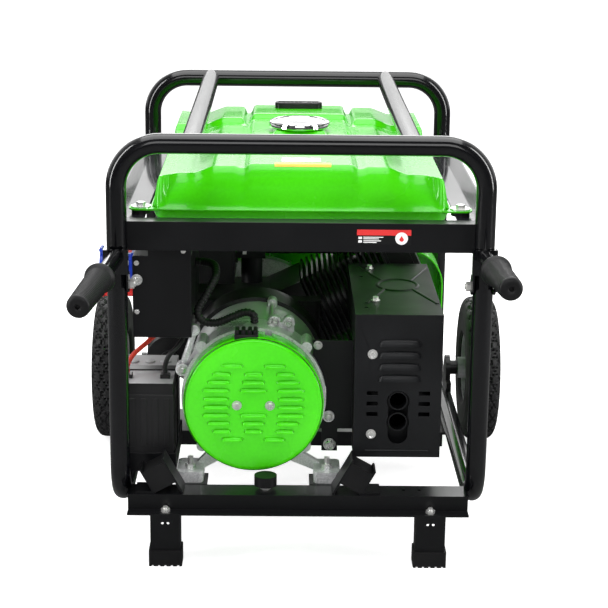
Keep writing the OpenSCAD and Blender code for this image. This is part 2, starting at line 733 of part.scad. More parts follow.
// Louvre row: half-width, height from the middle and sideways place
function louvre_rows() = [[[-30, 30], 58, 15], [[-45, 0, 45], 46, 13], [[-49, 0, 49], 34, 16],
    [[-53, 0, 53], 22, 19], [[-53, 53], 9, 18], [[-53, 53], -3, 18], [[-53, 0, 53], -15, 19],
    [[-49, 0, 49], -27, 16], [[-45, 0, 45], -39, 13], [[-30, 30], -51, 15]];
module end_cover() {
    color("#45e010") difference() {
        union() {
            rod_y([shaft_x, 38, shaft_z], 27.7, cover_d / 2);
            at(shaft_x, 38, shaft_z) rotate([90, 0, 0]) rotate_extrude()
                intersection() {
                    union() {
                        square([cover_d / 2 - 8, 8]);
                        translate([cover_d / 2 - 8, 0]) circle(8);
                    }
                    square([cover_d, 9]);
                }
        }
        rod_y([shaft_x, 32, shaft_z], 40, cover_d / 2 - 1.6);
        for (dx = [-23.5, 23.5]) rod_y([shaft_x + dx, 25, shaft_z], 20, 3);
        for (row = louvre_rows(), x = row[0])
            block([shaft_x + x - row[2], 25, shaft_z + row[1] - 1.5],
                [shaft_x + x + row[2], 35, shaft_z + row[1] + 1.5]);
        for (a = [-12, 12]) at(shaft_x, 50, shaft_z) rotate([0, a, 0])
            translate([-5, 0, 90]) cube([10, 20, 20]);
    }
}

// ---- exhaust ----
module muffler() {
    color("#3a3a3d") difference() {
        union() {
            slab([88, 50, 154], [192, 318, 340], 22);
            for (z = pipe_z) rod_y([pipe_x, 35, z], 15.2, 14);
            rod_y([134, 318, 311], 8, 17);
            block([112, 326, 288], [158, 334.8, 334]);
        }
        slab([90, 52, 156], [190, 316, 338], 20);
        for (z = pipe_z) rod_y([pipe_x, 30, z], 30, 12);
        rod_y([134, 310, 311], 40, 14);
    }
}
module muffler_shield() {
    a = shield[0];
    b = shield[1];
    t = 1.5;
    color("#1d1e21") difference() {
        block(a, b);
        block([a[0] + t, a[1] + t, a[2] - over], [b[0] - t, b[1] + over, b[2] - t]);
        block([a[0] - over, a[1] + 44, a[2] - over], [a[0] + 2 * over, b[1] + over, a[2] + 150]);
        for (z = pipe_z) rod_y([pipe_x, a[1] - over, z], 5, 16);
        block([pipe_x - 14, a[1] - over, 176], [pipe_x + 14, a[1] + 3, 234]);
        rod_y([pipe_x, a[1] - over, 176], 5, 14);
        for (x = [pipe_x - 37, pipe_x + 37], i = [-1 : 1])
            block([x - 8, a[1] - over, 219 + i * 15.5], [x + 8, a[1] + 3, 225 + i * 15.5]);
        for (i = [0 : 3])
            block([114, a[1] - over, 256 + i * 17.2], [168, a[1] + 3, 259 + i * 17.2]);
        for (y = [70, 250]) rod_z([95, y, b[2] - 5], 10, 3);
        for (z = [177, 295.5]) rod_y([103, a[1] - over, z], 5, 3);
    }
}
module muffler_bracket() {
    color("#1d1e21") {
        difference() {
            union() {
                block([20, 78, 168], [77.8, 81, 301]);
                block([60, 78, 168], [87.8, 81, 290]);
                block([34, 78, 134], [57, 81, 168]);
            }
            rod_y([45.5, 76, 145], 8, 4.2);
            rod_y([shaft_x, 70, shaft_z], 20, 104.2);
            rod_y([10.45, 70, 293], 20, 8.5);
        }
    }
    color("#c9ccd2") {
        rod_y([45.5, 73, 145], 8, 4.1);
        hex_y([45.5, 70, 145], 5, 7);
    }
}

// ---- electrics ----
module control_box() {
    a = box[0];
    b = box[1];
    color("#1b1b1f") difference() {
        union() {
            block(a, b);
            block([a[0] + 22, a[1], b[2] - 10], [b[0], a[1] + 2, 449.5]);
        }
        block(a + [2, 2, 2], b - [2, 2, 2]);
        rod_x([a[0] - over, blue_at[1], blue_at[2]], 5, 20);
        rod_x([a[0] - over, red_at[1], red_at[2]], 5, 24);
        rod_x([a[0] - over, key_at[1], key_at[2]], 5, 9);
        block([a[0] - over, breaker_at[1] - 9, breaker_at[2] - 18],
            [a[0] + 5, breaker_at[1] + 9, breaker_at[2] + 18]);
    }
}
// Socket: a barrel through the panel with a square flange on its face
module socket(p, r, reach) {
    difference() {
        union() {
            rod_x([p[0] - 4, p[1], p[2]], 34, r - 0.1);
            slab_x([p[0] - 4, p[1], p[2]], 2 * r + 12, 4);
            rod_x([p[0] - reach, p[1], p[2]], reach - 4, r);
        }
        rod_x([p[0] - reach - over, p[1], p[2]], reach + 20, r - 3);
    }
    for (a = [0 : 120 : 240]) at(p[0] - 8, p[1], p[2]) rotate([a, 0, 0]) translate([0, 0, r - 10])
        rotate([0, 90, 0]) cylinder(h = 29, r = 2.4);
}
module slab_x(p, size, t) {
    at(p[0], p[1] - size / 2, p[2] - size / 2) cube([t, size, size]);
}
module blue_socket() { color("#1846c8") socket(blue_at, 20, 46); }
module red_socket() { color("#c81818") socket(red_at, 24, 52); }
// Sprung lid, hinged at the top of its socket's mouth
module lid(p, r, reach) {
    x = p[0] - reach - gap - 4;
    rod_x([x, p[1], p[2]], 4, r + 1);
    block([x, p[1] - 8, p[2] + r - 4], [x + 4, p[1] + 8, p[2] + r + 6]);
    rod_y([x + 2, p[1] - 10, p[2] + r + 6], 20, 3);
}
module blue_lid() { color("#1846c8") lid(blue_at, 20, 46); }
module red_lid() { color("#c81818") lid(red_at, 24, 52); }
module key_switch() {
    color("#c9ccd2") {
        rod_x([key_at[0] - 10, key_at[1], key_at[2]], 24, 8.95);
        block([key_at[0] - 26, key_at[1] - 1.5, key_at[2] - 9],
            [key_at[0] - 10, key_at[1] + 1.5, key_at[2] + 9]);
    }
}
module breaker() {
    color("#26262a") {
        rod_y([breaker_at[0] + 10, breaker_at[1] - 8, breaker_at[2]], 16, 11);
        block([breaker_at[0] - 9, breaker_at[1] - 5, breaker_at[2] - 3],
            [breaker_at[0] + 8, breaker_at[1] + 5, breaker_at[2] + 3]);
    }
}

module battery() {
    a = cell[0];
    b = cell[1];
    color("#1c1c1f") {
        block(a, [b[0], b[1], b[2] - 22]);
        block([a[0] + 1, a[1] + 1, b[2] - 22], [b[0] - 1, b[1] - 1, b[2] - 6]);
        for (x = [-246, -192]) block([x - 7, 70, b[2] - 6], [x + 7, 84, b[2]]);
    }
}
module battery_tray() {
    a = cell[0];
    b = cell[1];
    color("#1f1f22") {
        difference() {
            block([a[0] - 3, a[1] - 3, a[2] - 3], [b[0] + 3, b[1] + 3, a[2] + 25]);
            block([a[0] - gap, a[1] - gap, a[2]], [b[0] + gap, b[1] + gap, a[2] + 40]);
        }
        for (y = [a[1] + 20, b[1] - 40]) difference() {
            block([-leg_x - 6, y, rail_z], [-leg_x + 60, y + 25, a[2] - 3]);
            rod_y([-leg_x, y - 10, rail_z], 60, tube_r);
            block([-leg_x + 3, y - over, rail_z - over], [-leg_x + 62, y + 40, a[2] - 7]);
        }
        // strap over the cells
        for (x = [a[0] - 2, b[0] + 0.3])
            block([x, 110, a[2] + 25], [x + 1.7, 130, b[2] - 5.7]);
        block([a[0] - 2, 110, b[2] - 5.7], [b[0] + 2, 130, b[2] - 4]);
    }
}
module wiring() {
    color("#b01818") cord(red_route, 3.5, 2, 8);
    color("#141416") cord(black_route, 3.5, 2, 8);
    color("#141416") cord(loom_route, 6, 2, 8);
    color("#141416") cord(plug_route, 3.5, 2, 8);
}

// ---- folding handles ----
// Everything of a handle is drawn for s = -1 left, 1 right, about its pivot
ear_t = 2.5;
ear_gap = tube_r + gap;
splay = [8, 2.5];
guard = 104;
module on_pivot(s) {
    droop = s < 0 ? left_droop : right_droop;
    at(s * leg_x, 0, pivot_z) rotate([droop, 0, 0]) children();
}
module along_handle(s) {
    translate([0, -19, tube_up]) rotate([0, 0, s > 0 ? splay[1] : -splay[0]]) rotate([90, 0, 0])
        children();
}
module handle(s) {
    on_pivot(s) {
        for (x = [-ear_gap - ear_t, ear_gap]) difference() {
            union() {
                translate([x, 0, 0]) rotate([0, 90, 0]) cylinder(h = ear_t, r = 11.5);
                translate([x, -19, -4]) cube([ear_t, 12, 58]);
                translate([x, -12, 0]) cube([ear_t, 18, 16]);
            }
            translate([x - over, 0, 0]) rotate([0, 90, 0]) cylinder(h = ear_t + 2 * over, r = 4 + fit);
        }
        translate([-ear_gap - 0.1, -19, 19]) cube([2 * ear_gap + 0.2, ear_t, 35]);
        difference() {
            along_handle(s) cylinder(h = handle_reach - 25, r = handle_d / 2);
            translate([-20, -18.9, 20]) cube([40, 20, 60]);
        }
    }
}
module grip(s) {
    on_pivot(s) along_handle(s) difference() {
        union() {
            translate([0, 0, guard - 19]) cylinder(h = 6, r = 21);
            translate([0, 0, guard - 13]) cylinder(h = handle_reach - guard - 9, r1 = 18, r2 = 15.5);
            translate([0, 0, handle_reach - 22]) cylinder(h = 3, r = 14);
        }
        translate([0, 0, 0]) cylinder(h = handle_reach - 25, r = handle_d / 2);
        translate([0, 0, handle_reach - 23]) cylinder(h = 10, r = 3);
    }
}
module handle_left() { color("#1b1b1f") handle(-1); }
module handle_right() { color("#1b1b1f") handle(1); }
module grip_left() { color("#26262a") grip(-1); }
module grip_right() { color("#26262a") grip(1); }
module pivot_bolts() {
    color("#c9ccd2") for (s = [-1, 1]) {
        inner = leg_x - ear_gap - ear_t - gap;
        outer = leg_x + ear_gap + ear_t + gap;
        rod_x([s > 0 ? inner - 8 : -outer - 1, 0, pivot_z], outer - inner + 9, 4);
        hex_x([s > 0 ? inner - 6 : -inner, 0, pivot_z], 6, 7);
        hex_x([s > 0 ? outer : -outer - 5, 0, pivot_z], 5, 7);
    }
}

// ---- wheels ----
module tyre(s) {
    r = wheel_d / 2;
    at(s * (track_w - tyre_w) / 2, axle_y, r) rotate([0, 90, 0]) rotate_extrude($fn = 64)
        difference() {
            union() {
                translate([60, -tyre_w / 2 + 4]) square([r - 76, tyre_w - 8]);
                translate([r - 16, -tyre_w / 2 + 14]) square([16, tyre_w - 28]);
                for (z = [-1, 1]) {
                    translate([r - 16, z * (tyre_w / 2 - 16)]) circle(16);
                    translate([74, z * (tyre_w / 2 - 6)]) circle(6);
                }
            }
            translate([0, -tyre_w]) square([60, 2 * tyre_w]);
        }
}
module hub(s) {
    r = wheel_d / 2;
    mid = s * (track_w - tyre_w) / 2;
    at(mid, axle_y, r) rotate([0, 90, 0]) difference() {
        union() {
            rotate_extrude() translate([53, -22]) square([7, 44]);
            translate([0, 0, -34.5]) cylinder(h = 52.5, r = 18);
            translate([0, 0, -5]) cylinder(h = 6, r = 54);
            for (a = [0 : 60 : 300]) rotate([0, 0, a]) translate([16, -3, -16]) cube([38, 6, 32]);
        }
        translate([0, 0, -60]) cylinder(h = 120, r = axle_d / 2 + fit);
        for (a = [30 : 60 : 330]) rotate([0, 0, a]) translate([36, 0, -20]) cylinder(h = 40, r = 9);
    }
}
module tyre_left() { color("#1c1c1f") tyre(-1); }
module tyre_right() { color("#1c1c1f") tyre(1); }
module hub_left() { color("#55585c") mirror([1, 0, 0]) hub(1); }
module hub_right() { color("#55585c") hub(1); }

front_hoop();
rear_hoop();
frame_tubes();
crossmembers();
tank_bars();
tank_rails();
leg_brackets();
rubber_feet();
axle_brackets();
frame_bolts();
mount_brackets();
rubber_mounts();
fuel_tank();
tank_mounts();
fuel_gauge();
fuel_cap();
fuel_valve();
fuel_lever();
fuel_hose();
crankcase();
cylinder_block();  // cylinder
valve_cover();
spark_plug();
carburettor();
choke_lever();
air_cleaner();
air_cleaner_cover();
fan_shroud();
recoil_cover();
recoil_handle();
dipstick();
starter_motor();
crankshaft();
rotor();
flywheel();
end_bell();
stator();
end_cover();
muffler();
muffler_shield();
muffler_bracket();
control_box();
blue_socket();
red_socket();
blue_lid();
red_lid();
key_switch();
breaker();
battery();
battery_tray();
wiring();
handle_left();
handle_right();
grip_left();
grip_right();
pivot_bolts();
tyre_left();
tyre_right();
hub_left();
hub_right();
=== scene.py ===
import json
import math

import bmesh
import bpy
from mathutils import Matrix, Vector


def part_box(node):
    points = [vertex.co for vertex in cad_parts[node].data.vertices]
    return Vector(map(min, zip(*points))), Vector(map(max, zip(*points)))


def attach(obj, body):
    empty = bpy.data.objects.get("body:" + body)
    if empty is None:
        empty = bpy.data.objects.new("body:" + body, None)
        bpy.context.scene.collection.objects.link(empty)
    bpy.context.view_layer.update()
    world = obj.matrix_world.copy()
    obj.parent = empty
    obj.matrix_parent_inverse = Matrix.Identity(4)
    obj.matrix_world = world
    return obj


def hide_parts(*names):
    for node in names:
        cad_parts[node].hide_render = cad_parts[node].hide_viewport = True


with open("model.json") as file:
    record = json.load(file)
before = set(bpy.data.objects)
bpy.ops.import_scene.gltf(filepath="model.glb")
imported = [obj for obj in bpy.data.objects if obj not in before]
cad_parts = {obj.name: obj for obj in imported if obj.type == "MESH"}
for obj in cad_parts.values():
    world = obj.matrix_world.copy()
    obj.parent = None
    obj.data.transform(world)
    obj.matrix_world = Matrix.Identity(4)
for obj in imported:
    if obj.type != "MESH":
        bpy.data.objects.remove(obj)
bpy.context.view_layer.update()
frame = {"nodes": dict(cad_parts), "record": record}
nodes = frame["nodes"]
mm = 0.001
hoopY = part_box("front_hoop")[0].y + 14 * mm      # plane of the front hoop
print("frame loaded:", len(nodes), "nodes")


def at(x, y, z):
    # a point in millimetres, with y counted from the front hoop's plane
    return Vector((x * mm, hoopY + y * mm, z * mm))


# ---- camera, floor and light ----
camera = {"place": (-26.8, -2274.9, 983.4), "yaw": 0.805, "pitch": 14.957, "roll": 0.693, "lens": 101.25}
studio = {
    "floorColour": (0.9, 0.9, 0.9, 1), "floorGlow": 0.75, "floorDim": 0.16,
    "worldFront": 0.07, "worldBack": 1.0,
    # name: place, aim, width, height, power
    "overhead": ((0, 200, 2600), (0, 300, 300), 2.6, 2.6, 60),
    "leftStrip": ((-2200, -900, 1300), (0, 200, 350), 0.35, 2.4, 34),
    "rightStrip": ((2200, -700, 1300), (0, 200, 350), 0.35, 2.4, 34),
    "frontFill": ((100, -3200, 1900), (0, 0, 300), 2.4, 1.2, 22),
    "backStrip": ((0, 3000, 1700), (0, 400, 500), 2.6, 1.0, 26),
}


def addCamera():
    data = bpy.data.cameras.new("camera")
    data.lens = camera["lens"]
    data.sensor_width = 36
    data.clip_start, data.clip_end = 0.05, 100
    obj = bpy.data.objects.new("camera", data)
    bpy.context.scene.collection.objects.link(obj)
    obj.matrix_world = (Matrix.Translation(at(*camera["place"]))
                        @ Matrix.Rotation(math.radians(-camera["yaw"]), 4, "Z")
                        @ Matrix.Rotation(math.radians(90 - camera["pitch"]), 4, "X")
                        @ Matrix.Rotation(math.radians(camera["roll"]), 4, "Z"))
    bpy.context.scene.camera = obj


def addSoftbox(name, place, aim, width, height, power):
    data = bpy.data.lights.new(name, "AREA")
    data.shape = "RECTANGLE"
    data.size, data.size_y, data.energy = width, height, power
    obj = bpy.data.objects.new(name, data)
    obj.location = at(*place)
    obj.rotation_euler = (at(*aim) - at(*place)).to_track_quat("-Z", "Y").to_euler()
    bpy.context.scene.collection.objects.link(obj)


def addStudio():
    world = bpy.data.worlds.new("studio")
    world.use_nodes = True
    tree = world.node_tree
    coord = tree.nodes.new("ShaderNodeTexCoord")
    split = tree.nodes.new("ShaderNodeSeparateXYZ")
    glow = tree.nodes.new("ShaderNodeMapRange")     # bright wall behind the set, dim room in front
    glow.interpolation_type = "SMOOTHSTEP"
    glow.inputs["From Min"].default_value = -0.5
    glow.inputs["To Min"].default_value = studio["worldFront"]
    glow.inputs["To Max"].default_value = studio["worldBack"]
    path = tree.nodes.new("ShaderNodeLightPath")
    seen = tree.nodes.new("ShaderNodeMath")
    seen.operation = "MAXIMUM"
    tree.links.new(coord.outputs["Generated"], split.inputs["Vector"])
    tree.links.new(split.outputs["Y"], glow.inputs["Value"])
    tree.links.new(glow.outputs["Result"], seen.inputs[0])
    tree.links.new(path.outputs["Is Camera Ray"], seen.inputs[1])
    tree.links.new(seen.outputs["Value"], tree.nodes["Background"].inputs["Strength"])
    tree.nodes["Background"].inputs["Color"].default_value = (1, 1, 1, 1)
    bpy.context.scene.world = world
    for name, values in studio.items():
        if isinstance(values, tuple) and isinstance(values[0], tuple):
            addSoftbox(name, *values)
    mesh = bpy.data.meshes.new("floor")
    bm = bmesh.new()
    bmesh.ops.create_grid(bm, x_segments=4, y_segments=4, size=30)
    bm.to_mesh(mesh)
    bm.free()
    floor = bpy.data.objects.new("floor", mesh)
    bpy.context.scene.collection.objects.link(floor)
    material = bpy.data.materials.new("paleFloor")
    material.use_nodes = True
    tree = material.node_tree
    shader = tree.nodes["Principled BSDF"]
    shader.inputs["Base Color"].default_value = studio["floorColour"]
    shader.inputs["Roughness"].default_value = 0.9
    shader.inputs["Specular IOR Level"].default_value = 0.1
    shader.inputs["Emission Color"].default_value = (1, 1, 1, 1)
    shader.inputs["Emission Strength"].default_value = studio["floorGlow"]
    dim = tree.nodes.new("ShaderNodeBsdfDiffuse")   # what gloss paint mirrors of the floor
    dim.inputs["Color"].default_value = (*[studio["floorDim"]] * 3, 1)
    path = tree.nodes.new("ShaderNodeLightPath")
    mix = tree.nodes.new("ShaderNodeMixShader")
    tree.links.new(path.outputs["Is Glossy Ray"], mix.inputs["Fac"])
    tree.links.new(shader.outputs["BSDF"], mix.inputs[1])
    tree.links.new(dim.outputs["BSDF"], mix.inputs[2])
    tree.links.new(mix.outputs["Shader"], tree.nodes["Material Output"].inputs["Surface"])
    mesh.materials.append(material)


addCamera()
addStudio()
bpy.context.scene.view_settings.view_transform = "Standard"
print("camera, floor and light are up")


# ---- shared surface effects ----
def newGroup(name, inputs, outputs):
    tree = bpy.data.node_groups.new(name, "ShaderNodeTree")
    for label, value in inputs.items():
        socket = tree.interface.new_socket(label, in_out="INPUT", socket_type="NodeSocketFloat")
        socket.default_value = value
    for label in outputs:
        tree.interface.new_socket(label, in_out="OUTPUT", socket_type="NodeSocketFloat")
    return tree, tree.nodes.new("NodeGroupInput"), tree.nodes.new("NodeGroupOutput")


def makeSurfaceGroup():
    # broad cloudiness, fine grain and fine scratches, all on Object coordinates
    tree, given, out = newGroup("surfaceGrain", {"Cloud Scale": 8, "Grain Scale": 600, "Grain Detail": 3},
                                ["Cloud", "Grain", "Scratch"])
    coord = tree.nodes.new("ShaderNodeTexCoord")
    cloud = tree.nodes.new("ShaderNodeTexNoise")
    cloud.inputs["Detail"].default_value = 4
    grain = tree.nodes.new("ShaderNodeTexNoise")
    streak = tree.nodes.new("ShaderNodeTexNoise")
    stretch = tree.nodes.new("ShaderNodeMapping")
    stretch.inputs["Scale"].default_value = (40, 900, 1100)
    streak.inputs["Scale"].default_value = 1
    streak.inputs["Detail"].default_value = 2
    sharpen = tree.nodes.new("ShaderNodeMapRange")
    sharpen.inputs["From Min"].default_value = 0.62
    sharpen.inputs["From Max"].default_value = 0.72
    link = tree.links.new
    for noise in (cloud, grain):
        link(coord.outputs["Object"], noise.inputs["Vector"])
    link(coord.outputs["Object"], stretch.inputs["Vector"])
    link(stretch.outputs["Vector"], streak.inputs["Vector"])
    link(given.outputs["Cloud Scale"], cloud.inputs["Scale"])
    link(given.outputs["Grain Scale"], grain.inputs["Scale"])
    link(given.outputs["Grain Detail"], grain.inputs["Detail"])
    link(cloud.outputs["Fac"], out.inputs["Cloud"])
    link(grain.outputs["Fac"], out.inputs["Grain"])
    link(streak.outputs["Fac"], sharpen.inputs["Value"])
    link(sharpen.outputs["Result"], out.inputs["Scratch"])
    return tree


def makeDustGroup():
    # settles on faces that look up, thicker where the noise is high
    tree, given, out = newGroup("settledDust", {"Amount": 0.3, "Scale": 25}, ["Mask"])
    coord = tree.nodes.new("ShaderNodeTexCoord")
    shape = tree.nodes.new("ShaderNodeNewGeometry")
    split = tree.nodes.new("ShaderNodeSeparateXYZ")
    upward = tree.nodes.new("ShaderNodeMapRange")
    upward.inputs["From Min"].default_value = 0.35
    noise = tree.nodes.new("ShaderNodeTexNoise")
    noise.inputs["Detail"].default_value = 6
    noise.inputs["Roughness"].default_value = 0.65
    both = tree.nodes.new("ShaderNodeMath")
    both.operation = "MULTIPLY"
    scaled = tree.nodes.new("ShaderNodeMath")
    scaled.operation = "MULTIPLY"
    link = tree.links.new
    link(shape.outputs["Normal"], split.inputs["Vector"])
    link(split.outputs["Z"], upward.inputs["Value"])
    link(coord.outputs["Object"], noise.inputs["Vector"])
    link(given.outputs["Scale"], noise.inputs["Scale"])
    link(upward.outputs["Result"], both.inputs[0])
    link(noise.outputs["Fac"], both.inputs[1])
    link(both.outputs["Value"], scaled.inputs[0])
    link(given.outputs["Amount"], scaled.inputs[1])
    link(scaled.outputs["Value"], out.inputs["Mask"])
    return tree


surfaceGroup = makeSurfaceGroup()
dustGroup = makeDustGroup()

# base and second are the two colours that the grain mixes; rough is its range; bump is the
# height of the grain in millimetres; grain and cloud are noise scales per metre
plainFinish = {"base": (0.02, 0.02, 0.022), "second": (0.03, 0.03, 0.032), "rough": (0.3, 0.4),
               "metal": 0.0, "coat": 0.0, "coatRough": 0.05, "bump": 0.02, "grain": 600, "cloud": 9,
               "scratch": 0.0, "dust": 0.0, "grainMix": 0.5, "specular": 0.5, "stripe": 0.0,
               "stripeScale": 500, "stripeAxis": "Y"}
finishes = {
    "tubeBlack": {"base": (0.001, 0.0011, 0.0016), "second": (0.0022, 0.0024, 0.0034), "rough": (0.14, 0.22),
                  "coat": 0.6, "coatRough": 0.05, "bump": 0.006, "grain": 260, "specular": 0.4},
    "sheetBlack": {"base": (0.0018, 0.002, 0.0026), "second": (0.0038, 0.0041, 0.0052), "rough": (0.28, 0.4),
                   "coat": 0.12, "coatRough": 0.15, "bump": 0.010, "grain": 900, "specular": 0.35},
    "limePaint": {"base": (0.050, 0.600, 0.0012), "second": (0.064, 0.680, 0.002), "rough": (0.22, 0.3),
                  "specular": 0.3, "coat": 0.45, "coatRough": 0.05, "bump": 0.005, "grain": 220,
                  "grainMix": 0.35},
    "zincPlate": {"base": (0.70, 0.71, 0.72), "second": (0.86, 0.85, 0.81), "rough": (0.22, 0.4),
                  "metal": 0.75, "bump": 0.008, "grain": 900, "cloud": 60, "scratch": 0.15},
    "railSteel": {"base": (0.014, 0.014, 0.018), "second": (0.024, 0.024, 0.030), "rough": (0.1, 0.17),
                  "coat": 0.9, "bump": 0.006, "grain": 300},
    # castAlloy: pale, mostly diffuse colour stands in for the bright surroundings a polished casting mirrors,
    # a painted reflection
    "castAlloy": {"base": (0.60, 0.61, 0.62), "second": (0.90, 0.90, 0.91), "rough": (0.22, 0.4),
                  "metal": 0.35, "bump": 0.06, "grain": 420, "cloud": 20, "scratch": 0.1},
    "engineBlack": {"base": (0.006, 0.006, 0.0065), "second": (0.014, 0.014, 0.015), "rough": (0.3, 0.46),
                    "bump": 0.05, "grain": 500, "dust": 0.04},
    "chromePlate": {"base": (0.86, 0.87, 0.88), "second": (0.93, 0.93, 0.93), "rough": (0.04, 0.09),
                    "metal": 1.0, "bump": 0.001, "grain": 200},
    "brightSteel": {"base": (0.48, 0.48, 0.48), "second": (0.62, 0.61, 0.6), "rough": (0.2, 0.34),
                    "metal": 1.0, "bump": 0.01, "grain": 700, "scratch": 0.3},
    # lamination: near-white, mostly diffuse colour stands in for the bright surroundings the stator's shell
    # mirrors, a painted reflection
    "lamination": {"base": (0.84, 0.85, 0.86), "second": (0.93, 0.93, 0.93), "rough": (0.16, 0.3),
                   "metal": 0.3, "bump": 0.02, "grain": 800, "stripe": 0.12, "stripeScale": 900},
    "exhaustBlack": {"base": (0.0035, 0.004, 0.005), "second": (0.008, 0.0088, 0.0105), "rough": (0.34, 0.5),
                     "bump": 0.02, "grain": 900, "dust": 0.02, "specular": 0.4},
    "softRubber": {"base": (0.003, 0.003, 0.0035), "second": (0.007, 0.007, 0.0078), "rough": (0.36, 0.5),
                   "bump": 0.04, "grain": 1100, "dust": 0.01, "specular": 0.35},
    "tyreRubber": {"base": (0.006, 0.006, 0.0065), "second": (0.014, 0.014, 0.015), "rough": (0.45, 0.62),
                   "bump": 0.04, "grain": 900, "dust": 0.03, "specular": 0.4},
    "hubGrey": {"base": (0.20, 0.205, 0.21), "second": (0.28, 0.285, 0.29), "rough": (0.35, 0.5),
                "coat": 0.2, "bump": 0.03, "grain": 600},
    "mouldedBlack": {"base": (0.0025, 0.0026, 0.003), "second": (0.0055, 0.0057, 0.0065),
                     "rough": (0.3, 0.45), "bump": 0.03, "grain": 1400, "specular": 0.4},
    "gaugeFace": {"base": (0.010, 0.010, 0.011), "second": (0.016, 0.016, 0.017), "rough": (0.1, 0.2),
                  "coat": 0.8, "bump": 0.002, "grain": 900},
    "batteryBlack": {"base": (0.006, 0.006, 0.0065), "second": (0.012, 0.012, 0.013), "rough": (0.28, 0.4),
                     "bump": 0.02, "grain": 1300, "dust": 0.02},
    "bluePlastic": {"base": (0.008, 0.04, 0.42), "second": (0.012, 0.055, 0.52), "rough": (0.25, 0.35),
                    "bump": 0.015, "grain": 900},
    "redPlastic": {"base": (0.52, 0.012, 0.010), "second": (0.62, 0.020, 0.015), "rough": (0.25, 0.35),
                   "bump": 0.015, "grain": 900},
    "yellowPlastic": {"base": (0.72, 0.42, 0.02), "second": (0.80, 0.50, 0.03), "rough": (0.3, 0.4),
                      "bump": 0.015, "grain": 900},
    "wireSheath": {"base": (0.004, 0.004, 0.0045), "second": (0.009, 0.009, 0.0095), "rough": (0.35, 0.5),
                   "bump": 0.01, "grain": 1000},
    "redSheath": {"base": (0.50, 0.020, 0.012), "second": (0.60, 0.045, 0.02), "rough": (0.35, 0.5),
                  "bump": 0.01, "grain": 1000},
    "paleGrey": {"base": (0.36, 0.36, 0.37), "second": (0.44, 0.44, 0.45), "rough": (0.4, 0.5),
                 "bump": 0.02, "grain": 900, "dust": 0.06},
    "whiteLabel": {"base": (0.74, 0.74, 0.73), "second": (0.82, 0.82, 0.81), "rough": (0.35, 0.45),
                   "bump": 0.003, "grain": 900},
    "amberLabel": {"base": (0.80, 0.50, 0.02), "second": (0.86, 0.58, 0.04), "rough": (0.35, 0.45),
                   "bump": 0.003, "grain": 900},
    "redLabel": {"base": (0.58, 0.010, 0.012), "second": (0.66, 0.016, 0.016), "rough": (0.35, 0.45),
                 "bump": 0.003, "grain": 900},
}


def mixColours(tree, factor, first, second):
    mix = tree.nodes.new("ShaderNodeMix")
    mix.data_type = "RGBA"
    tree.links.new(factor, mix.inputs["Factor"])
    for socket, value in ((mix.inputs["A"], first), (mix.inputs["B"], second)):
        if isinstance(value, tuple):
            socket.default_value = (*value[:3], 1)
        else:
            tree.links.new(value, socket)
    return mix.outputs["Result"]


def mathNode(tree, operation, a, b):
    node = tree.nodes.new("ShaderNodeMath")
    node.operation = operation
    for socket, value in zip(node.inputs, (a, b)):
        if isinstance(value, (int, float)):
            socket.default_value = value
        else:
            tree.links.new(value, socket)
    return node.outputs["Value"]


def makeFinish(name):
    v = {**plainFinish, **finishes[name]}
    material = bpy.data.materials.new(name)
    material.use_nodes = True
    material.diffuse_color = (*v["base"], 1)
    tree = material.node_tree
    shader = tree.nodes["Principled BSDF"]
    grain = tree.nodes.new("ShaderNodeGroup")
    grain.node_tree = surfaceGroup
    grain.inputs["Cloud Scale"].default_value = v["cloud"]
    grain.inputs["Grain Scale"].default_value = v["grain"]
    blend = mathNode(tree, "MULTIPLY", grain.outputs["Grain"], v["grainMix"])
    cloud = mathNode(tree, "MULTIPLY", grain.outputs["Cloud"], 1 - v["grainMix"])
    shade = mathNode(tree, "ADD", blend, cloud)
    spread = tree.nodes.new("ShaderNodeMapRange")
    spread.inputs["From Min"].default_value = 0.38
    spread.inputs["From Max"].default_value = 0.62
    tree.links.new(shade, spread.inputs["Value"])
    colour = mixColours(tree, spread.outputs["Result"], v["base"], v["second"])
    height = grain.outputs["Grain"]
    if v["stripe"]:
        coord = tree.nodes.new("ShaderNodeTexCoord")
        wave = tree.nodes.new("ShaderNodeTexWave")
        wave.bands_direction = v["stripeAxis"]
        wave.inputs["Scale"].default_value = v["stripeScale"] / 6.283
        tree.links.new(coord.outputs["Object"], wave.inputs["Vector"])
        height = mathNode(tree, "ADD", height, wave.outputs["Fac"])
        line = mathNode(tree, "MULTIPLY", wave.outputs["Fac"], v["stripe"])
        colour = mixColours(tree, line, colour, (0, 0, 0))
    rough = tree.nodes.new("ShaderNodeMapRange")
    rough.inputs["From Min"].default_value = 0.3
    rough.inputs["From Max"].default_value = 0.7
    rough.inputs["To Min"].default_value, rough.inputs["To Max"].default_value = v["rough"]
    tree.links.new(grain.outputs["Cloud"], rough.inputs["Value"])
    roughness = rough.outputs["Result"]
    if v["scratch"]:
        roughness = mathNode(tree, "ADD", roughness,
                             mathNode(tree, "MULTIPLY", grain.outputs["Scratch"], v["scratch"]))
    if v["dust"]:
        dust = tree.nodes.new("ShaderNodeGroup")
        dust.node_tree = dustGroup
        dust.inputs["Amount"].default_value = v["dust"]
        colour = mixColours(tree, dust.outputs["Mask"], colour, (0.34, 0.33, 0.31))
        roughness = mathNode(tree, "ADD", roughness, dust.outputs["Mask"])
    bump = tree.nodes.new("ShaderNodeBump")
    bump.inputs["Strength"].default_value = 1
    bump.inputs["Distance"].default_value = v["bump"] * mm
    tree.links.new(height, bump.inputs["Height"])
    tree.links.new(colour, shader.inputs["Base Color"])
    tree.links.new(roughness, shader.inputs["Roughness"])
    tree.links.new(bump.outputs["Normal"], shader.inputs["Normal"])
    shader.inputs["Metallic"].default_value = v["metal"]
    shader.inputs["Coat Weight"].default_value = v["coat"]
    shader.inputs["Coat Roughness"].default_value = v["coatRough"]
    shader.inputs["Specular IOR Level"].default_value = v["specular"]
    return material


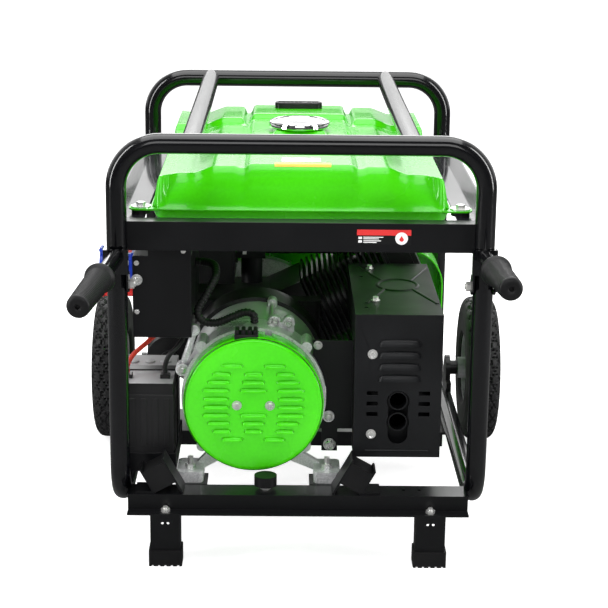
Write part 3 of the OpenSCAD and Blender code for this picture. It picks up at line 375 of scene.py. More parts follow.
materials = {name: makeFinish(name) for name in finishes}
slotFinish = {
    "frame_black": "tubeBlack", "sheet_black": "sheetBlack", "green_paint": "limePaint", "zinc": "zincPlate",
    "rail_steel": "railSteel", "cast_alloy": "castAlloy", "engine_black": "engineBlack",
    "chrome": "chromePlate", "steel": "brightSteel", "core_steel": "lamination",
    "exhaust_black": "exhaustBlack", "rubber": "softRubber", "tyre": "tyreRubber", "hub_grey": "hubGrey",
    "black_plastic": "mouldedBlack", "battery_black": "batteryBlack", "blue_plastic": "bluePlastic",
    "red_plastic": "redPlastic", "yellow_plastic": "yellowPlastic", "wire": "wireSheath",
}
finishSlot = {finish: slot for slot, finish in slotFinish.items()}
finishSlot.update({"redSheath": "wire", "gaugeFace": "black_plastic", "paleGrey": "battery_black",
                   "whiteLabel": "black_plastic", "amberLabel": "yellow_plastic", "redLabel": "red_plastic"})
for sub in frame["record"]["subparts"]:
    mesh = nodes[sub["node"]].data
    mesh.materials.clear()
    mesh.materials.append(materials[slotFinish[sub["material_slot"]]])
for name in ("fuel_valve", "carburettor"):      # painted shade: dark finish for the valve and carburettor, which sit in the shade deep under the tank
    nodes[name].data.materials[0] = materials["exhaustBlack"]
print("finishes:", len(materials))


# ---- mesh helpers, all in millimetres with y from the front hoop's plane ----
def smoothStep(t):
    t = min(max(t, 0), 1)
    return t * t * (3 - 2 * t)


def stepAlong(points, x):
    # straight-line interpolation through (x, value) pairs
    for (x0, v0), (x1, v1) in zip(points, points[1:]):
        if x <= x1:
            return v0 + (v1 - v0) * (x - x0) / (x1 - x0)
    return points[-1][1]


def addProfile(bm, profile, steps=96):
    # (radius, height) pairs spun about Z
    verts = [bm.verts.new((r, 0, h)) for r, h in profile]
    edges = [bm.edges.new(pair) for pair in zip(verts, verts[1:])]
    bmesh.ops.spin(bm, geom=verts + edges, cent=(0, 0, 0), axis=(0, 0, 1), angle=math.tau,
                   steps=steps, use_merge=True)
    bmesh.ops.remove_doubles(bm, verts=bm.verts[:], dist=1e-3)
    bmesh.ops.recalc_face_normals(bm, faces=bm.faces[:])


def addBlock(bm, low, high, edge=0.0, segments=2, matrix=Matrix()):
    size = Vector(high) - Vector(low)
    middle = Matrix.Translation((Vector(high) + Vector(low)) / 2)
    made = bmesh.ops.create_cube(bm, size=1, matrix=matrix @ middle @ Matrix.Diagonal((*size, 1)))["verts"]
    if edge:
        edges = list({e for v in made for e in v.link_edges})
        bmesh.ops.bevel(bm, geom=edges, offset=edge, offset_type="OFFSET", affect="EDGES",
                        segments=segments, profile=0.5, material=-1)


def axisMatrix(place, direction):
    # Z of the new frame along the direction, origin at the place
    return Matrix.Translation(Vector(place)) @ Vector(direction).to_track_quat("Z", "Y").to_matrix().to_4x4()


def addRod(bm, start, end, radius, tip=None, sides=24, edge=0.0):
    start, end = Vector(start), Vector(end)
    length = (end - start).length
    made = bmesh.ops.create_cone(bm, cap_ends=True, segments=sides, radius1=radius,
                                 radius2=radius if tip is None else tip, depth=length,
                                 matrix=axisMatrix((start + end) / 2, end - start))["verts"]
    if edge:
        rims = list({e for v in made for e in v.link_edges if any(len(f.verts) > 4 for f in e.link_faces)})
        bmesh.ops.bevel(bm, geom=rims, offset=edge, offset_type="OFFSET", affect="EDGES",
                        segments=2, profile=0.5, material=-1)


def addPart(bm, other, matrix):
    # moves a small bmesh into a bigger one
    bmesh.ops.transform(other, matrix=matrix, verts=other.verts[:])
    mesh = bpy.data.meshes.new("part")
    other.to_mesh(mesh)
    other.free()
    bm.from_mesh(mesh)
    bpy.data.meshes.remove(mesh)


def addHexBolt(bm, place, direction, across=13, height=5.5, washer=0.0):
    # hex head with chamfered corners, a shallow dished top and a washer
    head = bmesh.new()
    if washer:
        addRod(head, (0, 0, 0), (0, 0, 1.6), washer, sides=40, edge=0.35)
    base = 1.6 if washer else 0
    made = bmesh.ops.create_cone(head, cap_ends=True, segments=6, radius1=across / math.sqrt(3),
                                 radius2=across / math.sqrt(3), depth=height,
                                 matrix=Matrix.Translation((0, 0, base + height / 2)))["verts"]
    top = [f for f in {f for v in made for f in v.link_faces} if f.normal.z > 0.9]
    bmesh.ops.inset_region(head, faces=top, thickness=across * 0.1, depth=across * 0.06)
    bmesh.ops.inset_region(head, faces=top, thickness=across * 0.08, depth=-0.6)
    addPart(bm, head, axisMatrix(place, direction))


def addPanScrew(bm, place, direction, radius=5.2, height=3.4, washer=0.0):
    # pan head with a cross recess
    head = bmesh.new()
    base = 0
    if washer:
        base = 1.2
        addRod(head, (0, 0, 0), (0, 0, base), washer, sides=40, edge=0.3)
    top = base + height
    addProfile(head, [(0, base), (radius, base), (radius, base + height * 0.45),
                      (radius * 0.86, base + height * 0.82), (radius * 0.62, top), (radius * 0.22, top)],
               steps=48)
    bmesh.ops.holes_fill(head, edges=[e for e in head.edges if e.is_boundary])
    recess = bmesh.new()
    arm, hub = radius * 0.1, radius * 0.14
    for turn in (0, 90, 180, 270):
        addBlock(recess, (radius * 0.12, -arm, top - 1.1), (radius * 0.56, arm, top + 0.02),
                 matrix=Matrix.Rotation(math.radians(turn), 4, "Z"))
    addBlock(recess, (-hub, -hub, top - 1.2), (hub, hub, top + 0.02))
    bmesh.ops.reverse_faces(recess, faces=recess.faces[:])
    addPart(head, recess, Matrix())
    addPart(bm, head, axisMatrix(place, direction))


def addTube(bm, route, radius, sides=16, steps=6, ribs=None):
    # a cord swept along a smooth route; ribs = (pitch, height) makes it corrugated
    points = []
    for i in range(len(route) - 1):
        a, b, c, d = (Vector(route[min(max(j, 0), len(route) - 1)]) for j in (i - 1, i, i + 1, i + 2))
        for k in range(steps):
            t = k / steps
            points.append(0.5 * ((2 * b) + (c - a) * t + (2 * a - 5 * b + 4 * c - d) * t * t
                                 + (3 * b - a - 3 * c + d) * t ** 3))
    points.append(Vector(route[-1]))
    if ribs:
        even, travelled, want = [points[0]], 0.0, ribs[0] / 4
        for p, q in zip(points, points[1:]):
            length = (q - p).length
            while travelled + length >= want:
                even.append(p.lerp(q, (want - travelled) / length))
                want += ribs[0] / 4
            travelled += length
        points = even
    circle = bmesh.ops.create_circle(bm, cap_ends=True, segments=sides, radius=radius,
                                     matrix=axisMatrix(points[0], points[1] - points[0]))["verts"]
    faces = list({f for v in circle for f in v.link_faces})
    frameNow = axisMatrix(points[0], points[1] - points[0])
    for i in range(1, len(points)):
        ahead = points[min(i + 1, len(points) - 1)] - points[i - 1]
        bend = frameNow.to_quaternion() @ Vector((0, 0, 1))
        turn = bend.rotation_difference(ahead).to_matrix().to_4x4()
        frameNext = (Matrix.Translation(points[i]) @ turn
                     @ Matrix.Translation(-frameNow.translation) @ frameNow)
        drawn = bmesh.ops.extrude_face_region(bm, geom=faces)["geom"]
        made = [g for g in drawn if isinstance(g, bmesh.types.BMFace)]
        if i > 1:
            bmesh.ops.delete(bm, geom=faces, context="FACES")
        faces = made
        verts = list({v for f in faces for v in f.verts})
        bmesh.ops.transform(bm, matrix=frameNext @ frameNow.inverted(), verts=verts)
        if ribs:
            grow = (radius + ribs[1] * (1 if i % 4 in (1, 2) else 0)) / (verts[0].co - points[i]).length
            bmesh.ops.transform(bm, matrix=Matrix.Translation(points[i]) @ Matrix.Scale(grow, 4)
                                @ Matrix.Translation(-points[i]), verts=verts)
        frameNow = frameNext


def makePiece(name, bm, body, finish, *replaced, sharp=35):
    # one finished object: in metres, in the row frame, riding on its body
    bmesh.ops.transform(bm, matrix=Matrix.Translation((0, hoopY, 0)) @ Matrix.Scale(mm, 4),
                        verts=bm.verts[:])
    mesh = bpy.data.meshes.new(name)
    bm.to_mesh(mesh)
    bm.free()
    for face in mesh.polygons:
        face.use_smooth = True
    mesh.set_sharp_from_angle(angle=math.radians(sharp))
    mesh.materials.append(materials[finish])
    obj = bpy.data.objects.new(name, mesh)
    bpy.context.scene.collection.objects.link(obj)
    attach(obj, body)
    if replaced:
        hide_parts(*replaced)
    return obj


# ---- fuel tank ----
tank = {
    "halfWidth": 207, "front": 41, "back": 625, "seam": 498, "bottom": 440, "corner": 20,
    "sideSlope": 10, "endSlope": 36, "underSlope": 58, "columns": 150, "rows": 190,
    # sideways place and height of the top's panels, then how far they rise at the back
    "panels": ((0, 556), (73, 556), (78, 550), (86, 550), (91, 553), (122, 553), (148, 543), (200, 542)),
    "rearRise": 8, "rearStepMiddle": 480, "rearStepSide": 450, "grooveX": 82,
    "plinthHalf": 42, "plinthFront": 330, "plinthBack": 432, "plinthRise": 5,
    "earX": 212, "earY": (56, 624), "earHalfX": 26, "earHalfY": 17, "earThick": 2.2,
    "flangeHalf": 209, "flangeFront": 38, "flangeBack": 628, "flangeThick": 2.4,
}
capShape = {"radius": 48, "base": 561.4, "flutes": 24, "fluteDepth": 0.3, "y": 376}


def outlineInside(x, y, halfX, halfY, corner):
    # distance inwards from a rounded rectangle, and how much of it points sideways
    px, py = abs(x) - (halfX - corner), abs(y) - (halfY - corner)
    if px > 0 and py > 0:
        reach = math.hypot(px, py)
        return corner - reach, px / reach
    return (corner - px, 1.0) if px > py else (corner - py, 0.0)


def panelHeight(x, y):
    side = abs(x)
    height = sum(stepAlong(tank["panels"], max(side + shift, 0)) for shift in (-2.5, 0, 2.5)) / 3
    step = tank["rearStepMiddle"] if side < tank["grooveX"] else tank["rearStepSide"]
    groove = smoothStep((abs(side - tank["grooveX"]) - 3) / 5)
    height += tank["rearRise"] * groove * smoothStep((y - step) / 16)
    plinth = smoothStep((tank["plinthHalf"] - side) / 6)
    plinth *= smoothStep((y - tank["plinthFront"]) / 8) * smoothStep((tank["plinthBack"] - y) / 8)
    return height + tank["plinthRise"] * plinth


def shellHeight(x, y, up):
    middle = (tank["front"] + tank["back"]) / 2
    inside, sideways = outlineInside(x, y - middle, tank["halfWidth"], tank["back"] - middle, tank["corner"])
    if up:
        slope = math.hypot(tank["sideSlope"] * sideways, tank["endSlope"] * (1 - sideways))
        t = min(max(inside / slope, 0), 1)
        rise = 0.45 * t + 0.55 * smoothStep(t)
        return tank["seam"] + (panelHeight(x, y) - tank["seam"]) * rise
    t = min(max(inside / tank["underSlope"], 0), 1)
    return tank["seam"] + (tank["bottom"] - tank["seam"]) * math.sin(t * math.pi / 2) ** 0.8


def makeTank():
    bm = bmesh.new()
    middle = (tank["front"] + tank["back"]) / 2
    for up in (True, False):
        made = bmesh.ops.create_grid(bm, x_segments=tank["columns"], y_segments=tank["rows"], size=1)["verts"]
        for v in made:
            x, y = v.co.x * tank["halfWidth"], middle + v.co.y * (tank["back"] - middle)
            v.co = (x, y, shellHeight(x, y, up))
        if not up:
            bmesh.ops.reverse_faces(bm, faces=list({f for v in made for f in v.link_faces}))
    flat = [v for v in bm.verts if abs(v.co.z - tank["seam"]) < 1e-4
            and all(abs(e.other_vert(v).co.z - tank["seam"]) < 1e-4 for e in v.link_edges)]
    bmesh.ops.delete(bm, geom=flat, context="VERTS")
    bmesh.ops.remove_doubles(bm, verts=[v for v in bm.verts if v.is_boundary], dist=1e-3)
    # seam flange with a rolled edge, and its four ears
    flange = bmesh.new()
    half = (tank["flangeBack"] - tank["flangeFront"]) / 2
    addBlock(flange, (-tank["flangeHalf"], -half, -tank["flangeThick"] / 2),
             (tank["flangeHalf"], half, tank["flangeThick"] / 2))
    upright = [e for e in flange.edges if abs(e.verts[0].co.z - e.verts[1].co.z) > 1]
    bmesh.ops.bevel(flange, geom=upright, offset=22, affect="EDGES", segments=12, profile=0.5,
                    material=-1)
    rims = [e for e in flange.edges if abs(e.verts[0].co.z - e.verts[1].co.z) < 0.1]
    bmesh.ops.bevel(flange, geom=rims, offset=0.9, affect="EDGES", segments=3, profile=0.5, material=-1)
    addPart(bm, flange, Matrix.Translation((0, tank["flangeFront"] + half, tank["seam"])))
    for side in (-1, 1):
        for y in tank["earY"]:
            ear = bmesh.new()
            low = Vector((side * tank["earX"] - tank["earHalfX"], y - tank["earHalfY"],
                          tank["seam"] - tank["earThick"] / 2))
            addBlock(ear, low, low + Vector((2 * tank["earHalfX"], 2 * tank["earHalfY"], tank["earThick"])))
            upright = [e for e in ear.edges if abs(e.verts[0].co.z - e.verts[1].co.z) > 1]
            bmesh.ops.bevel(ear, geom=upright, offset=12, affect="EDGES", segments=6, profile=0.5,
                            material=-1)
            addPart(bm, ear, Matrix())
    neck = bmesh.new()
    addProfile(neck, [(34, -6), (34, 3.5), (33, 5), (31, 5), (30, 4), (30, -6), (34, -6)], steps=72)
    addPart(bm, neck, Matrix.Translation((0, capShape["y"], 556)))
    return makePiece("tankShell", bm, "frame", "limePaint", "fuel_tank", sharp=50)


makeTank()


# plain stickers without lettering: finish, near left corner, far right corner
stickers = {"amberSticker": ("amberLabel", (-37, 74), (42, 90)),
            "whiteSticker": ("whiteLabel", (-27, 98), (28, 130))}


def makeTankLabels():
    for name, (finish, low, high) in stickers.items():
        bm = bmesh.new()
        made = bmesh.ops.create_grid(bm, x_segments=20, y_segments=8, size=1)["verts"]
        for v in made:
            x = low[0] + (high[0] - low[0]) * (v.co.x + 1) / 2
            y = low[1] + (high[1] - low[1]) * (v.co.y + 1) / 2
            v.co = (x, y, shellHeight(x, y, True) + 0.35)
        bmesh.ops.solidify(bm, geom=bm.faces[:], thickness=0.3)
        bmesh.ops.recalc_face_normals(bm, faces=bm.faces[:])
        makePiece(name, bm, "frame", finish)


makeTankLabels()


# ---- fuel cap and gauge ----


def makeFuelCap():
    bm = bmesh.new()
    r = capShape["radius"]
    addProfile(bm, [(0, -0.1), (r - 6, -0.1), (r - 2, 0.6), (r - 0.4, 2.4), (r - 0.4, 7.5), (r - 1.6, 9.8),
                    (r - 4, 11.2), (r - 7, 11.8), (r - 9, 11.2), (r - 11, 11.3), (r - 16, 13.4),
                    (r - 26, 14.8), (16, 15.2), (14, 14.2), (12, 14.1), (0, 15.0)], steps=144)
    for v in bm.verts:
        reach = math.hypot(v.co.x, v.co.y)
        if reach > r - 3 and 1 < v.co.z < 10:
            wave = max(0, math.cos(capShape["flutes"] * math.atan2(v.co.y, v.co.x)))
            v.co.xy *= 1 - capShape["fluteDepth"] * wave / reach
    plug = bmesh.new()
    addProfile(plug, [(0, -10), (26, -10), (29.5, -8), (29.5, 0.2), (0, 0.2)], steps=64)
    addPart(bm, plug, Matrix())
    bmesh.ops.translate(bm, vec=(0, capShape["y"], capShape["base"]), verts=bm.verts[:])
    makePiece("fuelCap", bm, "fuel_cap", "chromePlate", "fuel_cap", sharp=30)


makeFuelCap()


gauge = {"corner": 10, "rim": 2.5, "dialHalfX": 26, "dialHalfY": 9, "marks": 7, "markPitch": 7,
         "needle": 12, "needleTurn": 0.5}


def makeFuelGauge():
    bm = bmesh.new()
    low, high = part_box("fuel_gauge")
    low, high = low / mm, high / mm
    y0, y1 = low.y - hoopY / mm, high.y - hoopY / mm
    addBlock(bm, (low.x, y0, low.z), (high.x, y1, high.z))
    upright = [e for e in bm.edges if abs(e.verts[0].co.z - e.verts[1].co.z) > 1]
    bmesh.ops.bevel(bm, geom=upright, offset=gauge["corner"], affect="EDGES", segments=8, profile=0.5,
                    material=-1)
    rims = [e for e in bm.edges if min(v.co.z for v in e.verts) > high.z - 0.1]
    bmesh.ops.bevel(bm, geom=rims, offset=gauge["rim"], affect="EDGES", segments=4, profile=0.5, material=-1)
    top = [f for f in bm.faces if f.normal.z > 0.99 and f.calc_center_median().z > high.z - 0.1]
    bmesh.ops.inset_region(bm, faces=top, thickness=3, depth=0)
    bmesh.ops.inset_region(bm, faces=top, thickness=0.8, depth=-1.2)
    makePiece("fuelGauge", bm, "frame", "mouldedBlack", "fuel_gauge")
    dial = bmesh.new()
    mid = (y0 + y1) / 2
    halfX, halfY = gauge["dialHalfX"], gauge["dialHalfY"]
    addBlock(dial, (-halfX, mid - halfY, high.z - 1.3), (halfX, mid + halfY, high.z - 0.9), edge=0.15,
             segments=1)
    makePiece("gaugeDial", dial, "frame", "gaugeFace")
    marks = bmesh.new()
    for i in range(gauge["marks"]):
        x = gauge["markPitch"] * (i - (gauge["marks"] - 1) / 2)
        addBlock(marks, (x - 0.5, mid + 3, high.z - 0.95), (x + 0.5, mid + 7, high.z - 0.75))
    pivot = Matrix.Translation((4, mid - 3, high.z - 0.9)) @ Matrix.Rotation(gauge["needleTurn"], 4, "Z")
    addBlock(marks, (-gauge["needle"], -0.7, 0), (gauge["needle"], 0.7, 0.25), matrix=pivot)
    makePiece("gaugeMarks", marks, "frame", "paleGrey")


makeFuelGauge()
print("tank, cap and gauge")


# ---- alternator end cover ----
shaft = {"x": -64.5, "z": 218}
# half-width, height from the middle and sideways places of each louvre row
louvreRows = (((-30, 30), 58, 15), ((-45, 0, 45), 46, 13), ((-49, 0, 49), 34, 16), ((-53, 0, 53), 22, 19),
              ((-53, 53), 9, 18), ((-53, 53), -3, 18), ((-53, 0, 53), -15, 19), ((-49, 0, 49), -27, 16),
              ((-45, 0, 45), -39, 13), ((-30, 30), -51, 15))


def addLouvre(bm, place, half, rise, depth):
    # pressed hood, open along its lower edge, standing out towards -Y
    hood = bmesh.new()
    bmesh.ops.create_uvsphere(hood, u_segments=20, v_segments=14, radius=1)
    for normal in ((0, 0, -1), (0, 1, 0)):
        whole = hood.verts[:] + hood.edges[:] + hood.faces[:]
        bmesh.ops.bisect_plane(hood, geom=whole, dist=1e-4, plane_co=(0, 0, 0), plane_no=normal,
                               clear_outer=True)
    for v in hood.verts:
        reach = (half - rise) * max(-1, min(1, v.co.x * 2.5))
        v.co = (reach + v.co.x * rise, v.co.y * depth, v.co.z * rise)
    bmesh.ops.recalc_face_normals(hood, faces=hood.faces[:])
    if sum(f.normal.y for f in hood.faces) > 0:
        bmesh.ops.reverse_faces(hood, faces=hood.faces[:])
    bmesh.ops.solidify(hood, geom=hood.faces[:], thickness=0.8)
    addPart(bm, hood, Matrix.Translation(place))


def makeCoverDetails():
    bm = bmesh.new()
    for places, height, half in louvreRows:
        for x in places:
            addLouvre(bm, (shaft["x"] + x, 30.1, shaft["z"] + height - 1.8), half, 5.6, 5.2)
    makePiece("coverLouvres", bm, "frame", "limePaint", sharp=40)
    bm = bmesh.new()
    for x in (-23.5, 23.5):
        addPanScrew(bm, (shaft["x"] + x, 30, shaft["z"]), (0, -1, 0), radius=5.4, height=3.6, washer=7)
    makePiece("coverScrews", bm, "frame", "zincPlate", sharp=30)
    bm = bmesh.new()
    addBlock(bm, (-92, 34, 306), (-58, 62, 321), edge=2.5)
    for x in (-88, -79, -70, -62):
        addBlock(bm, (x - 3, 36, 318), (x + 3, 58, 327), edge=1.4)
    makePiece("coverGrommet", bm, "frame", "softRubber")


makeCoverDetails()


# ---- castings and bolts around the alternator ----
bell = {
    # long bolts through the core: distance from the shaft, angles and the y of their ends
    "boltCircle": 103, "boltAngles": (76, 166, 256, 346), "boltHead": 96, "boltEnd": 246,
    "coreFront": 116.5, "coreBack": 214.5,
    "ears": ((-15, 320.5), (-36, 321.5)), "earY": 99,
    "linkFoot": (-167.5, 68, 258), "linkTop": (-150, 80, 315), "sideBoss": (43.7, 74, 187.4),
    # bolts of the muffler bracket: place, across, height, washer
    "bracketBolts": (((27, 77.9, 294), 8, 4.5, 6.5), ((45.5, 75.4, 145), 12.6, 5, 9)),
}
towardsFront = (0, -1, 0)


def addThroughBolts(cast, zinc):
    for angle in bell["boltAngles"]:
        turn = math.radians(angle)
        x = shaft["x"] + bell["boltCircle"] * math.cos(turn)
        z = shaft["z"] + bell["boltCircle"] * math.sin(turn)
        addRod(cast, (x, bell["boltHead"], z), (x, bell["coreFront"], z), 8, sides=32, edge=1.2)
        addRod(cast, (x, bell["coreBack"], z), (x, bell["coreBack"] + 21.5, z), 7.5, sides=32, edge=1.2)
        addRod(zinc, (x, bell["coreFront"] - 0.5, z), (x, bell["boltEnd"], z), 3.6, sides=20, edge=0.5)
        addHexBolt(zinc, (x, bell["boltHead"], z), towardsFront, across=11, height=5.5, washer=7)


def makeAlternatorDetails():
    cast = bmesh.new()
    zinc = bmesh.new()
    addThroughBolts(cast, zinc)
    for x, z in bell["ears"]:
        addRod(cast, (x, bell["earY"], z), (x, bell["earY"] + 14, z), 9, sides=36, edge=1.5)
        addHexBolt(zinc, (x, bell["earY"], z), towardsFront, across=10, height=5, washer=7)
    addBlock(cast, (-44, bell["earY"] + 2, 306), (-7, bell["earY"] + 13, 321), edge=2)
    # link on the left of the bell, boss and rib on its right
    foot, top, side = (Vector(bell[key]) for key in ("linkFoot", "linkTop", "sideBoss"))
    addRod(cast, foot, foot + Vector((0, 22, 0)), 9.5, sides=36, edge=1.5)
    addRod(cast, foot + Vector((1.5, 12, 4)), top - Vector((0, 0, 1)), 5.5, tip=4.5, sides=20, edge=1)
    addRod(cast, top - Vector((0, 6, 0)), top + Vector((0, 6, 0)), 8, sides=32, edge=1.5)
    addRod(cast, side, side + Vector((0, 3.6, 0)), 8.5, sides=32, edge=1)
    addRod(cast, (28, 83, 176), (28, 83, 205), 6, sides=20, edge=1)
    for place in (foot, side):
        addPanScrew(zinc, place, towardsFront, radius=5, height=3.2, washer=6.5)
    for place, across, height, washer in bell["bracketBolts"]:
        addHexBolt(zinc, place, towardsFront, across=across, height=height, washer=washer)
    makePiece("bellCastings", cast, "frame", "castAlloy", sharp=30)
    makePiece("bellBolts", zinc, "frame", "zincPlate", sharp=30)


makeAlternatorDetails()


# ---- control box and battery details ----
boxFront = 39.9
boxScrews = ((-228, 422), (-228, 352), (-163, 440))
boxBolt = (-228, 398)
# the cells' pale top on both sides of the clamp bar, its filler plugs and the ribs of the front
cells = {"left": -262.5, "right": -179.5, "front": 47.5, "back": 188.5, "bar": (109.6, 130.4), "top": 244.2,
         "plugs": 3, "plugPitch": 23, "ribs": 5, "ribPitch": 16.5}


def makeBoxDetails():
    bm = bmesh.new()
    for x, z in boxScrews:
        addPanScrew(bm, (x, boxFront, z), towardsFront, radius=3.6, height=2.4)
    x, z = boxBolt
    addHexBolt(bm, (x, boxFront, z), towardsFront, across=10, height=6, washer=8)
    addRod(bm, (x, 34, z), (x, 27, z), 3, sides=16, edge=0.4)
    makePiece("boxScrews", bm, "frame", "zincPlate", sharp=30)
    bm = bmesh.new()
    for near, far in ((cells["front"], cells["bar"][0]), (cells["bar"][1], cells["back"])):
        addBlock(bm, (cells["left"], near, cells["top"] - 0.6), (cells["right"], far, cells["top"]),
                 edge=0.25, segments=1)
    for i in range(cells["plugs"]):
        x = -243 + cells["plugPitch"] * i
        addRod(bm, (x, 152, cells["top"] - 0.2), (x, 152, cells["top"] + 2.2), 7.5, sides=32, edge=0.8)
    makePiece("batteryTop", bm, "frame", "paleGrey", sharp=30)
    bm = bmesh.new()
    for i in range(cells["ribs"]):
        x = -258 + cells["ribPitch"] * i
        addBlock(bm, (x, 45.2, 150), (x + 8, 46.4, 222), edge=0.5, segments=1)
    makePiece("batteryRibs", bm, "frame", "batteryBlack", sharp=30)


makeBoxDetails()


# ---- muffler shield ----
shieldBox = [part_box("muffler_shield")[i] / mm for i in (0, 1)]
shieldFront = shieldBox[0].y - hoopY / mm
shieldTop = shieldBox[1].z


def addRidge(bm, start, end, width, height):
    # low pressed bead between two points at one height
    start, end = Vector(start), Vector(end)
    addRod(bm, start, end, width / 2, sides=12)
    made = bm.verts[-24:]
    flatten = (Matrix.Translation((0, 0, start.z)) @ Matrix.Scale(2 * height / width, 4, (0, 0, 1))
               @ Matrix.Translation((0, 0, -start.z)))
    bmesh.ops.transform(bm, matrix=flatten, verts=made)


shieldMarks = {
    "louvres": 4, "lowestLouvre": 255.5, "louvrePitch": 17.2, "louvreX": 142,
    # pressed ring on the top with four spokes running to the corners
    "middle": (147, 199), "spokeStart": (21, 25), "spokeEnd": (51, 108), "bottomBead": 152,
    "frontBolts": ((103, 177), (103, 295.5)), "topBolts": ((110, 107), (110, 300)),
}


def makeShieldDetails():
    bm = bmesh.new()
    for i in range(shieldMarks["louvres"]):
        z = shieldMarks["lowestLouvre"] + shieldMarks["louvrePitch"] * i
        addLouvre(bm, (shieldMarks["louvreX"], shieldFront + 0.1, z), 30, 10, 5.5)
    middle = Vector((*shieldMarks["middle"], shieldTop))
    ring = bmesh.new()
    addProfile(ring, [(27, 0), (28.2, 1.2), (30, 1.7), (31.8, 1.2), (33, 0)], steps=72)
    bmesh.ops.transform(ring, matrix=Matrix.Diagonal((1, 1.15, 1, 1)), verts=ring.verts[:])
    addPart(bm, ring, Matrix.Translation(middle))
    for signX, signY in ((-1, -1), (1, -1), (-1, 1), (1, 1)):
        inner, outer = (middle + Vector((signX * shieldMarks[key][0], signY * shieldMarks[key][1], 0))
                        for key in ("spokeStart", "spokeEnd"))
        addRidge(bm, inner, outer, 6, 1.6)
    z = shieldMarks["bottomBead"]
    addRidge(bm, (95, shieldFront, z), (186, shieldFront, z), 4, 1.6)
    makePiece("shieldPressings", bm, "frame", "exhaustBlack", sharp=50)
    bm = bmesh.new()
    for x, z in shieldMarks["frontBolts"]:
        addHexBolt(bm, (x, shieldFront, z), towardsFront, across=8, height=4, washer=7)
    for x, y in shieldMarks["topBolts"]:
        addHexBolt(bm, (x, y, shieldTop), (0, 0, 1), across=8, height=4, washer=6.5)
    makePiece("shieldBolts", bm, "frame", "zincPlate", sharp=30)


makeShieldDetails()
print("cover and shield")

# ---- tyres and grips ----
tyre = {"radius": 122.5, "middle": 312, "y": 535, "lugs": 26, "lugWidth": 15, "grooveDepth": 4.2}


def makeTyre(side):
    bm = bmesh.new()
    r = tyre["radius"]
    wall = [(60, -17), (60, -24), (64, -27), (74, -28), (84, -27.2), (94, -27.6), (97, -28), (99, -27.4),
            (103, -27)]
    tread = [(108.5, -26.5), (112.5, -25.2), (116, -23.2), (118.6, -20.8), (120.6, -18), (121.6, -15),
             (122.2, -12), (122.4, -9), (122.5, -6), (122.5, -3)]
    half = wall + tread
    profile = half + [(122.5, 0)] + [(a, -h) for a, h in reversed(half)] + [(60, 0), (60, -17)]
    addProfile(bm, profile, steps=264)
    for v in bm.verts:
        reach = math.hypot(v.co.x, v.co.y)
        if reach < 110:
            continue
        around = math.atan2(v.co.y, v.co.x) / math.tau * tyre["lugs"]
        across = v.co.z / tyre["lugWidth"]
        diamond = min(abs((around + across) % 1 - 0.5), abs((around - across) % 1 - 0.5))
        cut = 1 - smoothStep((diamond - 0.05) / 0.05)
        depth = tyre["grooveDepth"] * cut * smoothStep((reach - 111) / 4)
        v.co.xy *= (reach - depth) / reach
    bmesh.ops.transform(bm, matrix=Matrix.Translation((side * tyre["middle"], tyre["y"], r))
                        @ Matrix.Rotation(math.radians(90), 4, "Y"), verts=bm.verts[:])
    label = "left" if side < 0 else "right"
    makePiece("tyre" + label.capitalize(), bm, "wheel_" + label, "tyreRubber", "tyre_" + label, sharp=28)


for side in (-1, 1):
    makeTyre(side)

handle = {"pivot": (251, 402.5), "up": 43, "reach": 222, "guard": 104,
          "droop": {-1: 4.5, 1: -2.5}, "splay": {-1: -8, 1: 2.5}}


def makeGrip(side):
    bm = bmesh.new()
    g, reach = handle["guard"] - 19, handle["reach"]
    profile = [(11.05, g), (19, g), (20.6, g + 1), (21, g + 3), (20.6, g + 5), (19.2, g + 6.2), (18, g + 8)]
    start, end = g + 8, reach - 24
    count = 26
    for i in range(count):
        z = start + (end - start) * (i + 0.5) / count
        body = 17.6 - 2.1 * (z - start) / (end - start)
        profile += [(body - 0.5, z - 1.1), (body, z - 0.6), (body, z + 0.6), (body - 0.5, z + 1.1)]
    profile += [(15.4, end), (15, reach - 21.6), (13.4, reach - 20), (10, reach - 19.1), (4.5, reach - 19),
                (3.4, reach - 19.8), (3, reach - 22.8), (0, reach - 23), (0, reach - 24.8),
                (11.05, reach - 24.8), (11.05, g)]
    addProfile(bm, profile, steps=48)
    x, z = handle["pivot"]
    droop = Matrix.Rotation(math.radians(handle["droop"][side]), 4, "X")
    splay = Matrix.Rotation(math.radians(handle["splay"][side]), 4, "Z")
    forward = Matrix.Rotation(math.radians(90), 4, "X")
    place = (Matrix.Translation((side * x, 0, z)) @ droop
             @ Matrix.Translation((0, -19, handle["up"])) @ splay @ forward)
    bmesh.ops.transform(bm, matrix=place, verts=bm.verts[:])
    label = "left" if side < 0 else "right"
    makePiece("grip" + label.capitalize(), bm, "handle_" + label, "softRubber", "grip_" + label, sharp=40)


for side in (-1, 1):
    makeGrip(side)
print("tyres and grips")

# ---- leads, loom and labels ----
# route from end to end, radius, then the pitch and height of a sleeve's ribs
leads = {
    "redLead": (((-246, 77, 251), (-246, 77, 262), (-238, 84, 276), (-218, 104, 290), (-204, 118, 302),
                 (-204, 118, 314)), 3.5, None),
    "blackLead": (((-192, 77, 251), (-192, 77, 262), (-186, 75, 278), (-174, 80, 290), (-166, 88, 302),
                   (-166, 88, 314)), 3.5, None),
    "alternatorLoom": (((-151.8, 150, 398), (-146, 150, 398), (-140, 149, 398), (-124, 134, 397),
                        (-121, 112, 386), (-134, 98, 362), (-146, 92, 340), (-138, 90, 325), (-118, 89, 323),
                        (-94, 88, 333), (-78, 88, 339), (-67, 88, 336.5), (-64.5, 88, 330),
                        (-64.5, 88, 323)), 5.2, (4.4, 0.8)),
    "plugLead": (((94, 400, 414), (90, 408, 426), (82, 430, 430), (70, 456, 418), (62, 474, 392),
                  (60, 480, 354)), 3.5, None),
}


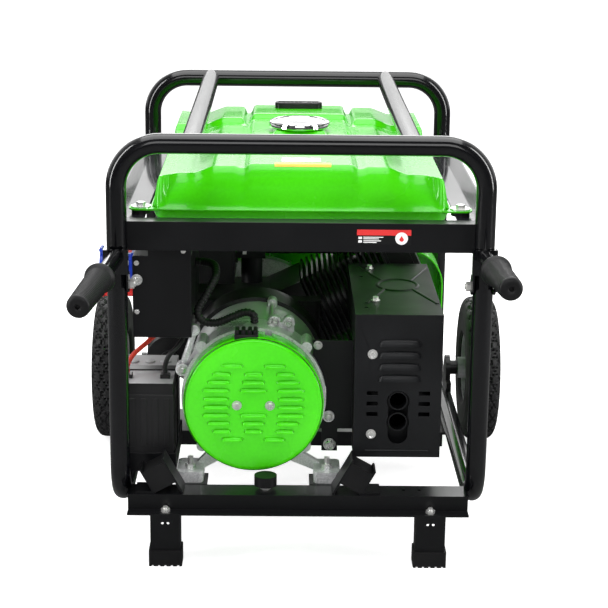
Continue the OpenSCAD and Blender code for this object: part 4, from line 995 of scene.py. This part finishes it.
def makeLeads():
    first = True
    for name, (route, radius, ribs) in leads.items():
        bm = bmesh.new()
        addTube(bm, route, radius, sides=16, steps=8, ribs=ribs)
        bmesh.ops.recalc_face_normals(bm, faces=bm.faces[:])
        finish = "redSheath" if name == "redLead" else "wireSheath"
        makePiece(name, bm, "frame", finish, *(["wiring"] if first else []), sharp=60)
        first = False


makeLeads()


barLabel = {"left": 76, "right": 150, "low": 461, "band": 474, "high": 482, "badgeX": 137, "badgeZ": 470,
            "badgeRadius": 8.6, "dropZ": 469, "rows": (470.5, 465.5)}


def makeBarLabel():
    # red and pale sticker with no lettering on the tank bar
    left, right = barLabel["left"], barLabel["right"]
    bm = bmesh.new()
    addBlock(bm, (left, -3.5, barLabel["low"]), (right, -3.0, barLabel["high"]), edge=0.2, segments=1)
    makePiece("barSticker", bm, "frame", "mouldedBlack")
    bm = bmesh.new()
    addBlock(bm, (left, -3.9, barLabel["band"]), (right, -3.4, barLabel["high"]), edge=0.15, segments=1)
    makePiece("barStickerBand", bm, "frame", "redLabel")
    bm = bmesh.new()
    x, z = barLabel["badgeX"], barLabel["badgeZ"]
    addRod(bm, (x, -3.2, z), (x, -4.3, z), barLabel["badgeRadius"], sides=48)
    for i, row in enumerate(barLabel["rows"]):
        addBlock(bm, (left + 2, -3.8, row - 1.6), (left + 7, -3.4, row + 1.6))
        for k in range(2):
            addBlock(bm, (left + 9, -3.75, row + 0.4 - 2.2 * k),
                     (left + 36 - 6 * k - 3 * i, -3.4, row + 1.5 - 2.2 * k))
    makePiece("barStickerMarks", bm, "frame", "whiteLabel")
    # drop: a flat ball drawn to a point above its middle
    bm = bmesh.new()
    z = barLabel["dropZ"]
    shape = Matrix.Translation((x, -4.3, z)) @ Matrix.Diagonal((3.2, 0.3, 3.4, 1))
    bmesh.ops.create_icosphere(bm, subdivisions=3, radius=1, matrix=shape)
    for v in bm.verts:
        if v.co.z > z:
            v.co.x = x + (v.co.x - x) * max(0.05, 1 - (v.co.z - z) / 3.6)
            v.co.z = z + (v.co.z - z) * 1.5
    makePiece("barStickerDrop", bm, "frame", "redLabel")


makeBarLabel()
print("leads and labels")

# ---- folded edges, in millimetres, of pieces that are shown as designed ----
foldedEdges = {"control_box": 1.6, "muffler_shield": 2.4, "tank_bars": 2.2, "crossmembers": 1.8,
               "battery": 2.0, "battery_tray": 0.8, "mount_brackets": 0.8, "leg_brackets": 0.8}
for name, radius in foldedEdges.items():
    weld = nodes[name].modifiers.new("weld", "WELD")
    weld.merge_threshold = 0.01 * mm
    fold = nodes[name].modifiers.new("fold", "BEVEL")
    fold.width = radius * mm
    fold.segments = 2
    fold.limit_method = "ANGLE"
    fold.angle_limit = math.radians(40)
print("folded edges:", len(foldedEdges))
